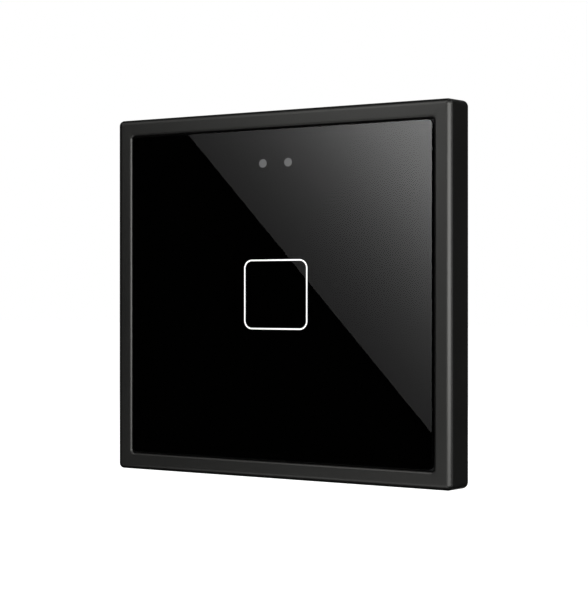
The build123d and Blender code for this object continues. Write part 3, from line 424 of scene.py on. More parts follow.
# The glass's ground edge: black and without shine, painted shade that stands in for the dark gap between the
# glass and the frame.
GROUND_EDGE_GAP_SHADE = Finish(
    "ground_edge_painted_gap_shade", Pattern.SPECKLED, (0.0006,) * 3, (0.0016,) * 3, (0.7, 0.9), 9000,
    specular=0.0,
)
FINISHES = {
    "frame_black": Finish(
        "black_frame_plastic", Pattern.MOULDED, (0.0036, 0.0036, 0.0034), (0.0048, 0.0048, 0.0045),
        (0.33, 0.38), 2600, 2e-6, specular=0.4, shine=(1.0, 1.0, 0.965),
    ),
    "clear_glass": Finish(
        "polished_glass", Pattern.SPECKLED, (0.985, 0.99, 0.985), (0.995, 1.0, 0.995), (0.0, 0.0), 900,
        transmission=1.0, index=1.52,
    ),
    "black_print": Finish(
        "black_screen_print", Pattern.SPECKLED, (0.0003,) * 3, (0.0006,) * 3, (0.6, 0.8), 3000,
        specular=0.0,
    ),
    "lit_white": Finish(
        "lit_symbol", Pattern.DRAWN_LINE, (0.95,) * 3, (0.0006,) * 3, (0.5, 0.6), 2500, specular=0.0,
        glow=1.0,
    ),
    "window_grey": Finish(
        "window_ink", Pattern.SPECKLED, (0.195, 0.195, 0.198), (0.215, 0.215, 0.218), (0.5, 0.6), 4000,
        specular=0.0,
    ),
    "foam_tape": Finish(
        "foam_seal", Pattern.CELLULAR, (0.03, 0.03, 0.03), (0.008, 0.008, 0.008), (0.85, 1.0), 4000, 4e-5,
    ),
    "carrier_black": Finish(
        "black_carrier_plastic", Pattern.MOULDED, (0.016, 0.016, 0.017), (0.024, 0.024, 0.025),
        (0.42, 0.56), 2200, 4e-6,
    ),
    "zinc_steel": Finish(
        "zinc_plated_steel", Pattern.CLOUDED, (0.66, 0.66, 0.645), (0.54, 0.545, 0.55), (0.36, 0.52), 260,
        1e-6, metallic=0.85,
    ),
    "tray_grey": Finish(
        "grey_tray_plastic", Pattern.MOULDED, (0.105, 0.107, 0.11), (0.135, 0.137, 0.14), (0.42, 0.55),
        2200, 4e-6,
    ),
    "board_green": Finish(
        "green_lacquered_board", Pattern.TRACKED, (0.010, 0.085, 0.036), (0.030, 0.170, 0.075),
        (0.24, 0.40), 420, 1.2e-5, coat=0.4,
    ),
    "spring_steel": Finish(
        "drawn_spring_wire", Pattern.BRUSHED, (0.62, 0.61, 0.58), (0.80, 0.79, 0.76), (0.14, 0.30), 6000,
        1e-6, metallic=1.0,
    ),
    "guide_clear": Finish(
        "frosted_light_guide", Pattern.SPECKLED, (0.88, 0.90, 0.90), (0.95, 0.96, 0.96), (0.22, 0.38),
        1500, 2e-6, transmission=0.75, index=1.49,
    ),
    "led_pale": Finish(
        "led_phosphor", Pattern.SPECKLED, (0.80, 0.72, 0.36), (0.92, 0.86, 0.52), (0.25, 0.40), 5000,
        4e-6, coat=0.5,
    ),
    "chip_black": Finish(
        "chip_resin", Pattern.SPECKLED, (0.012, 0.012, 0.013), (0.026, 0.026, 0.028), (0.44, 0.60), 6000,
        5e-6,
    ),
    "capacitor_tan": Finish(
        "fired_tan_ceramic", Pattern.SPECKLED, (0.34, 0.23, 0.13), (0.48, 0.35, 0.22), (0.35, 0.50), 6000,
        4e-6,
    ),
    "screw_steel": Finish(
        "bright_zinc_screw", Pattern.CLOUDED, (0.74, 0.74, 0.72), (0.58, 0.585, 0.58), (0.24, 0.40), 700,
        1e-6, metallic=0.9,
    ),
    "contact_gold": Finish(
        "gold_flashed_contact", Pattern.BRUSHED, (0.78, 0.55, 0.20), (0.90, 0.68, 0.30), (0.16, 0.30),
        5000, 1e-6, metallic=1.0,
    ),
    "housing_grey": Finish(
        "grey_housing_plastic", Pattern.MOULDED, (0.085, 0.088, 0.094), (0.115, 0.118, 0.125),
        (0.44, 0.60), 1900, 9e-6,
    ),
    "relay_blue": Finish(
        "blue_relay_case", Pattern.MOULDED, (0.020, 0.075, 0.300), (0.030, 0.100, 0.360), (0.24, 0.38),
        2400, 2e-6,
    ),
    "ferrite": Finish(
        "pressed_ferrite", Pattern.SPECKLED, (0.022, 0.021, 0.021), (0.050, 0.048, 0.047), (0.5, 0.7),
        5000, 8e-6,
    ),
    "winding_yellow": Finish(
        "taped_winding", Pattern.BRUSHED, (0.62, 0.42, 0.05), (0.80, 0.60, 0.12), (0.22, 0.36), 2500,
        3e-6, coat=0.4,
    ),
    "film_yellow": Finish(
        "yellow_capacitor_case", Pattern.MOULDED, (0.62, 0.40, 0.04), (0.72, 0.50, 0.07), (0.28, 0.42),
        2400, 2e-6,
    ),
    "sleeve_black": Finish(
        "shrunk_black_sleeve", Pattern.MOULDED, (0.018, 0.018, 0.026), (0.028, 0.028, 0.038),
        (0.20, 0.32), 1800, 2e-6,
    ),
    "varistor_blue": Finish(
        "dipped_blue_lacquer", Pattern.SPECKLED, (0.030, 0.120, 0.330), (0.050, 0.170, 0.420),
        (0.18, 0.34), 2600, 6e-6, coat=0.5,
    ),
    "bar_copper": Finish(
        "tinned_copper_bar", Pattern.BRUSHED, (0.66, 0.47, 0.33), (0.80, 0.62, 0.47), (0.24, 0.40), 3500,
        2e-6, metallic=1.0,
    ),
    "terminal_green": Finish(
        "green_terminal_plastic", Pattern.MOULDED, (0.016, 0.180, 0.066), (0.024, 0.230, 0.090),
        (0.34, 0.48), 2200, 3e-6,
    ),
    "cage_steel": Finish(
        "plated_cage_steel", Pattern.CLOUDED, (0.60, 0.60, 0.58), (0.45, 0.455, 0.46), (0.24, 0.42), 600,
        2e-6, metallic=1.0,
    ),
}


def grid_mesh(name: str, points: np.ndarray, closed: bool) -> bpy.types.Mesh:
    """Makes a mesh of a grid of points whose columns run round and close.

    Each face joins a point, its neighbour round the column, and the same two of the next row. Open rows
    end in one flat face each.

    Args:
        name: The mesh's name.
        points: Places in mm, shaped rows, columns and 3.
        closed: Whether the last row joins the first.

    Returns:
        The mesh, with its faces pointing outwards.
    """
    rows, columns = points.shape[:2]
    index = np.arange(rows * columns).reshape(rows, columns)
    ring, below = np.roll(index, -1, axis=1), np.roll(index, -1, axis=0)
    faces = np.stack([index, ring, np.roll(below, -1, axis=1), below], axis=-1)
    faces = (faces if closed else faces[:-1]).reshape(-1, 4).tolist()
    if not closed:
        faces += [index[0, ::-1].tolist(), index[-1].tolist()]
    mesh = bpy.data.meshes.new(name)
    mesh.from_pydata(points.reshape(-1, 3), [], faces)
    return outward(mesh)


def outward(mesh: bpy.types.Mesh) -> bpy.types.Mesh:
    """Turns a closed mesh's faces outwards.

    Args:
        mesh: The mesh.

    Returns:
        The same mesh.
    """
    work = bmesh.new()
    work.from_mesh(mesh)
    bmesh.ops.recalc_face_normals(work, faces=work.faces)
    work.to_mesh(mesh)
    work.free()
    return mesh


def joined(name: str, meshes: list[bpy.types.Mesh]) -> bpy.types.Mesh:
    """Puts several meshes into one.

    Args:
        name: The new mesh's name.
        meshes: What it gets.

    Returns:
        The new mesh.
    """
    work = bmesh.new()
    for mesh in meshes:
        work.from_mesh(mesh)
    whole = bpy.data.meshes.new(name)
    work.to_mesh(whole)
    work.free()
    return whole


def carved(mesh: bpy.types.Mesh, tool: bpy.types.Mesh, operation: str) -> bpy.types.Mesh:
    """Adds a closed tool mesh to a closed mesh, or takes it away.

    Args:
        mesh: The mesh worked on.
        tool: What is added or taken away.
        operation: UNION or DIFFERENCE.

    Returns:
        A new mesh.
    """
    body, cutter = (bpy.data.objects.new(part.name, part) for part in (mesh, tool))
    for part in (body, cutter):
        bpy.context.scene.collection.objects.link(part)
    step = body.modifiers.new("work", "BOOLEAN")
    step.operation, step.solver, step.object = operation, "EXACT", cutter
    evaluated = body.evaluated_get(bpy.context.evaluated_depsgraph_get())
    done = bpy.data.meshes.new_from_object(evaluated)
    for part in (body, cutter):
        bpy.data.objects.remove(part)
    return done


def block(low: Vec3, high: Vec3) -> bpy.types.Mesh:
    """Makes a plain block.

    Args:
        low: Its lowest corner, in mm.
        high: Its highest corner.

    Returns:
        A closed mesh.
    """
    size, middle = np.subtract(high, low), np.add(high, low) / 2
    work = bmesh.new()
    bmesh.ops.create_cube(work, size=1.0, matrix=Matrix.Translation(middle) @ Matrix.Diagonal((*size, 1.0)))
    mesh = bpy.data.meshes.new("block")
    work.to_mesh(mesh)
    work.free()
    return mesh


def turned(profile: list[Pair], centre: Pair, steps: int = 48) -> bpy.types.Mesh:
    """Turns a profile about a line along Y: x and z are the radius times the cosine and sine of the angle.

    Args:
        profile: Radius and depth pairs in mm, from one flat end to the other.
        centre: The line's x and z.
        steps: Faces round the turn.

    Returns:
        A closed mesh.
    """
    radius, depth = np.array(profile).T
    angle = np.linspace(0, 2 * np.pi, steps, endpoint=False)
    x = centre[0] + radius[:, None] * np.cos(angle)
    z = centre[1] + radius[:, None] * np.sin(angle)
    return grid_mesh("turned", np.stack([x, depth[:, None] + 0 * x, z], axis=-1), closed=False)


def four_places(x: float, z: float) -> list[Pair]:
    """The four places that lie x and z from the middle."""
    return [(a * x, b * z) for a in (-1, 1) for b in (-1, 1)]


def rounded(corners: np.ndarray, steps: int) -> np.ndarray:
    """Rounds the corners of a closed profile with arcs tangent to both sides.

    An arc's centre lies on the corner's bisector, its radius over the sine of half the corner's angle away.
    Its points are the radii to the two tangent points, mixed by the sines of the angle still to go and the
    angle gone, over the sine of the whole sweep.

    Args:
        corners: One row a corner: half side, depth, corner centre and radius, in mm.
        steps: Faces round each arc.

    Returns:
        One row a point: half side, depth and corner centre.
    """
    place, middle, radius = corners[:, :2], corners[:, 2], corners[:, 3:]
    before, after = np.roll(place, 1, axis=0) - place, np.roll(place, -1, axis=0) - place
    before /= np.linalg.norm(before, axis=1, keepdims=True)
    after /= np.linalg.norm(after, axis=1, keepdims=True)
    half = np.arccos((before * after).sum(axis=1, keepdims=True)) / 2
    bisector = (before + after) / np.linalg.norm(before + after, axis=1, keepdims=True)
    centre = place + bisector * radius / np.sin(half)
    start, end = (place + side * radius / np.tan(half) - centre for side in (before, after))
    sweep = (np.pi - 2 * half)[:, None]
    part = np.linspace(0, 1, steps + 1)[None, :, None]
    arc = (np.sin((1 - part) * sweep) * start[:, None] + np.sin(part * sweep) * end[:, None]) / np.sin(sweep)
    points = (centre[:, None] + arc).reshape(-1, 2)
    return np.column_stack([points, np.repeat(middle, steps + 1)])


def square_surface(profile: np.ndarray, steps: int) -> np.ndarray:
    """Carries a profile round a square with rounded corners.

    At each corner the place is the corner's centre plus the rest of the half side, turned by the angle:
    x = ±m + (h - m) cos a and z = ±m + (h - m) sin a, with the signs of that quarter.

    Args:
        profile: One row a point: half side h, depth and corner centre m.
        steps: Faces round each corner.

    Returns:
        Places in mm, shaped profile points, points round and 3.
    """
    quarter = np.arange(4)[:, None] * QUARTER
    angle = (quarter + np.linspace(0, QUARTER, steps + 1)).ravel()
    diagonal = np.repeat(quarter + QUARTER / 2, steps + 1)
    half, depth, middle = (profile[:, i, None] for i in range(3))
    x = middle * np.sign(np.cos(diagonal)) + (half - middle) * np.cos(angle)
    z = middle * np.sign(np.sin(diagonal)) + (half - middle) * np.sin(angle)
    return np.stack([x, depth + 0 * x, z], axis=-1)


def finished(
    name: str, mesh: bpy.types.Mesh, body: str, slot: str, replaces: tuple[str, ...] = (),
    sharp: float = 35.0,
) -> bpy.types.Object:
    """Makes a piece of a mesh in mm: metres, smooth shading with sharp edges, its finish and its body.

    Args:
        name: The piece's name.
        mesh: Its mesh, in mm.
        body: The body that it moves with.
        slot: The record's material slot.
        replaces: CAD nodes that it stands for.
        sharp: The angle in degrees past which an edge stays sharp.

    Returns:
        The piece's object, at the origin.
    """
    mesh.transform(Matrix.Scale(MM, 4))
    mesh.name = name
    mesh.materials.clear()
    mesh.materials.append(FINISHES[slot].material())
    mesh.polygons.foreach_set("material_index", np.zeros(len(mesh.polygons), dtype=np.int32))
    mesh.polygons.foreach_set("use_smooth", np.ones(len(mesh.polygons), dtype=bool))
    mesh.set_sharp_from_angle(angle=math.radians(sharp))
    piece = bpy.data.objects.new(name, mesh)
    bpy.context.scene.collection.objects.link(piece)
    normals = piece.modifiers.new("flat_faces_stay_flat", "WEIGHTED_NORMAL")
    normals.keep_sharp, normals.weight = True, LARGE_FACES_LEAD
    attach(piece, body)
    if replaces:
        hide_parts(*replaces)
    LOG.info("piece %s: %d faces, rides on %s", name, len(mesh.polygons), body)
    return piece


@dataclass
class OuterFrame:
    """The moulded frame: ring, drafted side, well, channel with ribs, ledge and pegs. Sizes in mm."""

    rear_half: float = 43.0
    front_half: float = 42.18
    front: float = -9.7
    outer_middle: float = 41.42
    front_middle: float = 41.0
    edge_round: float = 1.35
    rear_round: float = 0.05
    mitre_round: float = 0.12
    opening_half: float = 38.22
    opening_middle: float = 37.42
    opening_round: float = 0.62
    ledge_half: float = 33.6
    ledge_front: float = -4.2
    ledge_back: float = -3.0
    well_wall: float = 1.4
    side_wall: float = 1.5
    channel_front: float = -7.5
    small_round: float = 0.12
    rib: float = 1.2
    ribs: tuple[float, ...] = (-27.0, -9.0, 9.0, 27.0)
    rib_back: float = -1.2
    peg_radius: float = 1.2
    peg_places: Pair = (36.0, 26.0)
    peg_back: float = -0.2
    peg_tip: float = 0.3
    hole_radius: float = 1.1
    hole_places: Pair = (22.0, 36.0)
    notch: tuple[float, float, float] = (5.0, 40.5, 1.4)
    sunk: float = 0.3
    ledge_corner: float = 1.0
    past: float = 1.0
    arc_steps: int = 8
    corner_steps: int = 10

    def profile(self) -> np.ndarray:
        """The ring's section, from the rear edge over the front and through the well and the channel.

        Returns:
            One row a corner: half side, depth, corner centre and radius.
        """
        small, ledge_middle = self.small_round, self.ledge_half - self.ledge_corner
        well = self.opening_half + self.well_wall
        draft = (self.rear_half - self.front_half) / -self.front
        inner_rear = self.rear_half - self.side_wall
        inner_front = inner_rear + draft * self.channel_front
        inner_middle = inner_rear - (self.rear_half - self.outer_middle)
        return np.array([
            (self.rear_half, 0.0, self.outer_middle, self.rear_round),
            (self.front_half, self.front, self.front_middle, self.edge_round),
            (self.opening_half, self.front, self.opening_middle, self.opening_round),
            (self.opening_half, self.ledge_front, self.opening_middle, small),
            (self.ledge_half, self.ledge_front, ledge_middle, small),
            (self.ledge_half, self.ledge_back, ledge_middle, small),
            (self.opening_half, self.ledge_back, self.opening_middle, small),
            (self.opening_half, 0.0, self.opening_middle, small),
            (well, 0.0, self.opening_middle, small),
            (well, self.channel_front, self.opening_middle, 2 * small),
            (inner_front, self.channel_front, inner_middle, 2 * small),
            (inner_rear, 0.0, inner_middle, small),
        ])

    def channel_ribs(self) -> list[bpy.types.Mesh]:
        """The ribs that cross the channel, four on each side, each sunk a little into what it joins.

        Returns:
            One block a rib.
        """
        inner = self.opening_half + self.well_wall - self.sunk
        outer = self.rear_half - self.side_wall + self.sunk
        depths = (self.channel_front - self.sunk, self.rib_back)
        blocks = []
        for place in self.ribs:
            along = (place - self.rib / 2, place + self.rib / 2)
            for low, high in ((-outer, -inner), (inner, outer)):
                blocks.append(block((low, depths[0], along[0]), (high, depths[1], along[1])))
                blocks.append(block((along[0], depths[0], low), (along[1], depths[1], high)))
        return blocks

    def build(self) -> bpy.types.Object:
        """Builds the frame in place of its CAD node.

        Returns:
            The frame's object.
        """
        section = rounded(self.profile(), self.arc_steps)
        section[:, 2] = np.minimum(section[:, 2], section[:, 0] - self.mitre_round)
        ring = grid_mesh("ring", square_surface(section, self.corner_steps), closed=True)
        peg = [
            (self.peg_radius, self.ledge_back - self.sunk),
            (self.peg_radius, self.peg_back - self.peg_tip),
            (self.peg_radius - self.peg_tip, self.peg_back),
        ]
        hole = [
            (self.hole_radius, self.ledge_front - self.sunk),
            (self.hole_radius, self.ledge_back + self.sunk),
        ]
        half, edge, height = self.notch
        notch = block((-half, -height, -self.rear_half - self.past), (half, self.past, -edge))
        added = self.channel_ribs() + [turned(peg, place) for place in four_places(*self.peg_places)]
        taken = [turned(hole, place) for place in four_places(*self.hole_places)] + [notch]
        whole = carved(ring, joined("added", added), "UNION")
        mesh = carved(whole, joined("taken", taken), "DIFFERENCE")
        return finished("frame_moulding", mesh, "frame", "frame_black", ("outer_frame",))


@dataclass
class GlassPlate:
    """The glass plate with ground edges. Sizes in mm."""

    half: float = 37.94
    middle: float = 36.9
    front: float = -9.6
    back: float = -8.48
    chamfer: float = 0.14
    chamfer_round: float = 0.02
    border: float = 37.4
    arc_steps: int = 3
    corner_steps: int = 8

    def build(self) -> bpy.types.Object:
        """Builds the plate in place of its CAD node, its rear face just inside the print, as bonded glass.

        Its profile runs round the edge alone, from the front to the rear border. The two flat faces that
        close it are clear, and every four-sided face, so the ground edge and the rear border, is black
        without shine: painted shade that stands in for the dark gap between the glass and the frame.

        Returns:
            The plate's object.
        """
        inside = self.half - self.chamfer
        outline = np.array([
            (half, depth, self.middle, self.chamfer_round)
            for half, depth in (
                (inside / 2, self.front), (inside, self.front), (self.half, self.front + self.chamfer),
                (self.half, self.back - self.chamfer), (inside, self.back), (inside / 2, self.back),
            )
        ])
        edge = rounded(outline, self.arc_steps)[self.arc_steps + 1 : -self.arc_steps - 1]
        profile = np.vstack([edge, (self.border, self.back, self.middle)])
        mesh = grid_mesh("plate", square_surface(profile, self.corner_steps), closed=False)
        plate = finished("glass_plate", mesh, "front_panel", "clear_glass", ("glass_panel",))
        # The second material is the black, shineless edge: painted shade of the gap round the glass.
        plate.data.materials.append(GROUND_EDGE_GAP_SHADE.material())
        sides = np.empty(len(plate.data.polygons), dtype=np.int32)
        plate.data.polygons.foreach_get("loop_total", sides)
        plate.data.polygons.foreach_set("material_index", (sides == 4).astype(np.int32))
        return plate


@dataclass
class FoamSeal:
    """The ring of foam tape behind the print, squeezed to rounded edges. Sizes in mm."""

    outer_half: float = 36.95
    width: float = 3.0
    front: float = -8.3
    back: float = -8.0
    edge_round: float = 0.1
    corner: float = 0.8
    arc_steps: int = 3
    corner_steps: int = 6

    def build(self) -> bpy.types.Object:
        """Builds the seal in place of its CAD node.

        Returns:
            The seal's object.
        """
        outer, inner = self.outer_half, self.outer_half - self.width
        outline = np.array([
            (half, depth, half - self.corner, self.edge_round)
            for half, depth in (
                (outer, self.back), (outer, self.front), (inner, self.front), (inner, self.back),
            )
        ])
        surface = square_surface(rounded(outline, self.arc_steps), self.corner_steps)
        mesh = grid_mesh("seal", surface, closed=True)
        return finished("foam_tape_ring", mesh, "front_panel", "foam_tape", ("panel_tape",))


@dataclass
class SensingSpring:
    """The touch spring: one wire from the board to just behind the print. Sizes in mm."""

    radius: float = 4.4
    wire: float = 0.45
    turns: float = 2.75
    start: float = -4.925
    end: float = -7.975
    steps: int = 260
    sides: int = 14
    flat: float = 0.16
    tail: tuple[float, ...] = (1.0, 0.92, 0.7, 0.38)
    tail_tip: float = 0.01

    def build(self) -> bpy.types.Object:
        """Winds the wire: its depth runs evenly with the turn, more slowly where the end turns lie flat.

        The centre line is the radius times the cosine and sine of the turn, and each ring of the tube is
        the half wire times the cosine of its angle outwards plus the sine along the depth. The ends close
        in a dome: the ring's size is the root of one minus the square of the way past the end, and a
        little more, so that its last ring is no point.

        Returns:
            The spring's object.
        """
        part = np.linspace(0, 1, self.steps)
        angle = 2 * np.pi * self.turns * part
        eased = part - self.flat * np.sin(2 * np.pi * part) / (2 * np.pi)
        depth = self.start + (self.end - self.start) * eased
        outward_way = np.stack([np.cos(angle), 0 * angle, np.sin(angle)], axis=-1)
        line = self.radius * outward_way + np.stack([0 * depth, depth, 0 * depth], axis=-1)
        along = np.gradient(line, axis=0)
        along /= np.linalg.norm(along, axis=1, keepdims=True)
        upward = np.cross(along, outward_way)
        half = self.wire / 2
        tail, rows = np.array(self.tail), np.arange(self.steps)
        dome = half * np.sqrt(1 - tail**2) + self.tail_tip
        size = np.concatenate([dome, half + 0.0 * rows, dome[::-1]])
        shift = np.concatenate([-half * tail, 0.0 * rows, half * tail[::-1]])
        spread = np.concatenate([0 * tail, rows, 0 * tail + rows[-1]]).astype(int)
        centre = line[spread] + along[spread] * shift[:, None]
        turn = np.linspace(0, 2 * np.pi, self.sides, endpoint=False)[None, :, None]
        ring = np.cos(turn) * outward_way[spread][:, None] + np.sin(turn) * upward[spread][:, None]
        mesh = grid_mesh("spring", centre[:, None] + size[:, None, None] * ring, closed=False)
        return finished("sensing_spring", mesh, "base", "spring_steel", ("touch_spring",))


@dataclass
class TerminalNumbers:
    """The plain numbers 1 to 3 beside the terminals, raised in the rear recess. Sizes in mm."""

    places: tuple[float, ...] = (-8.2, 0.0, 8.2)
    height: float = 1.0
    size: float = 3.4
    floor: float = 23.7
    raised: float = 0.2
    sunk: float = 0.02

    def build(self) -> bpy.types.Object:
        """Draws each number as a flat outline, thickens it and lays it on the recess floor.

        Returns:
            One piece with the three numbers.
        """
        meshes = []
        for count, x in enumerate(self.places, start=1):
            curve = bpy.data.curves.new(f"number_{count}", "FONT")
            curve.body, curve.size, curve.align_x = str(count), self.size, "CENTER"
            curve.extrude = self.raised / 2
            text = bpy.data.objects.new(curve.name, curve)
            mesh = bpy.data.meshes.new_from_object(text)
            upright = Matrix.Rotation(math.pi, 4, "Z") @ Matrix.Rotation(QUARTER, 4, "X")
            depth = self.floor + self.raised / 2 - self.sunk
            mesh.transform(Matrix.Translation((x, depth, self.height)) @ upright)
            bpy.data.objects.remove(text)
            meshes.append(mesh)
        return finished("terminal_numbers", joined("numbers", meshes), "base", "housing_grey")


@dataclass
class CarriedNodes:
    """The CAD nodes that stay: each gets the finish of its slot."""

    replaced: tuple[str, ...] = ("outer_frame", "glass_panel", "panel_tape", "touch_spring")

    def dress(self) -> None:
        """Puts each slot's finish on its nodes."""
        for part in frame["record"]["subparts"]:
            node, slot = part["node"], part["material_slot"]
            if node in self.replaced:
                continue
            piece = frame["nodes"][node]
            material = FINISHES[slot].material()
            if not piece.material_slots:
                piece.data.materials.append(material)
            for place in piece.material_slots:
                place.material = material
            LOG.info("node %s: %s", node, material.name)


def blank_material(name: str) -> tuple[bpy.types.Material, Wiring]:
    """Makes a material of the studio that has no nodes yet.

    Args:
        name: The material's name.

    Returns:
        The material and the wiring of its tree.
    """
    material = bpy.data.materials.new(name)
    material.use_nodes = True
    material.node_tree.nodes.clear()
    return material, Wiring(material.node_tree)


def stage_sheet(name: str, corners: Sequence[Vec3], material: bpy.types.Material) -> bpy.types.Object:
    """Makes a flat sheet of the studio.

    Args:
        name: The sheet's name.
        corners: Its corners in metres, in order round it.
        material: Its material.

    Returns:
        The sheet's object.
    """
    mesh = bpy.data.meshes.new(name)
    mesh.from_pydata(corners, [], [tuple(range(len(corners)))])
    mesh.materials.append(material)
    sheet = bpy.data.objects.new(name, mesh)
    bpy.context.scene.collection.objects.link(sheet)
    return sheet


def standing(start: Pair, end: Pair, low: float, high: float) -> tuple[Vec3, ...]:
    """The corners of an upright card over the line from start to end, between two heights."""
    return ((*start, low), (*end, low), (*end, high), (*start, high))


def lying(*outline: Pair, height: float) -> tuple[Vec3, ...]:
    """The corners of a level card with an outline, at a height."""
    return tuple((*place, height) for place in outline)


@dataclass(frozen=True)
class Card:
    """A flat card that only glossy rays see: black, or a light that may rise across it. In metres."""

    name: str
    corners: tuple[Vec3, ...]
    level: float = 0.0
    base: float = 0.0
    start: float = 0.0
    rise: Vec3 = (0.0, 0.0, 0.0)
    fades: tuple[tuple[str, float, float], ...] = ()
    mirror: Mirror = Mirror.ALL

    def build(self) -> bpy.types.Object:
        """Builds the card.

        Its light is the base plus the soft ramp of its level, start and rise. Each fade names an axis, and
        takes a card for sharp mirrors from solid to clear between two places along it.

        Returns:
            The card's object.
        """
        material, wiring = blank_material(self.name)
        place = wiring.add("ShaderNodeTexCoord").outputs["Object"]
        strength: object = self.base
        if self.level:
            ramp = wiring.soft_ramp(place, self.level, self.start, self.rise)
            strength = wiring.math("ADD", ramp, self.base)
        surface = wiring.light(strength)
        if self.mirror is not Mirror.ALL:
            sharp = wiring.add("ShaderNodeLightPath").outputs["Is Singular Ray"]
            shown = wiring.math("SUBTRACT", 1.0, sharp) if self.mirror is Mirror.DULL else sharp
            for axis, solid, clear in self.fades:
                along = wiring.add("ShaderNodeSeparateXYZ", {0: place}).outputs[axis]
                shown = wiring.math("MULTIPLY", wiring.ramp(along, solid, clear, 1.0, 0.0), shown)
            surface = wiring.mix_shaders(shown, wiring.clear(), surface)
        wiring.show(surface)
        if self.mirror is Mirror.SHARP:
            material.cycles.emission_sampling = "NONE"
        card = stage_sheet(self.name, self.corners, material)
        card.visible_camera = card.visible_diffuse = card.visible_transmission = card.visible_shadow = False
        return card


@dataclass(frozen=True)
class Softbox:
    """An area lamp that points at the object. Sizes in metres, radiance relative to white."""

    name: str
    place: Vec3
    size: Pair
    radiance: float

    def build(self) -> bpy.types.Object:
        """Builds the lamp: its power is its radiance times pi and its area.

        Returns:
            The lamp's object.
        """
        light = bpy.data.lights.new(self.name, "AREA")
        light.shape, light.size, light.size_y = "RECTANGLE", *self.size
        light.energy = self.radiance * math.pi * self.size[0] * self.size[1]
        lamp = bpy.data.objects.new(self.name, light)
        bpy.context.scene.collection.objects.link(lamp)
        lamp.location = self.place
        x, y, z = np.negative(self.place)
        lamp.rotation_euler = (math.atan2(math.hypot(x, y), -z), 0.0, math.atan2(y, x) - QUARTER)
        lamp.visible_camera = lamp.visible_glossy = False
        return lamp


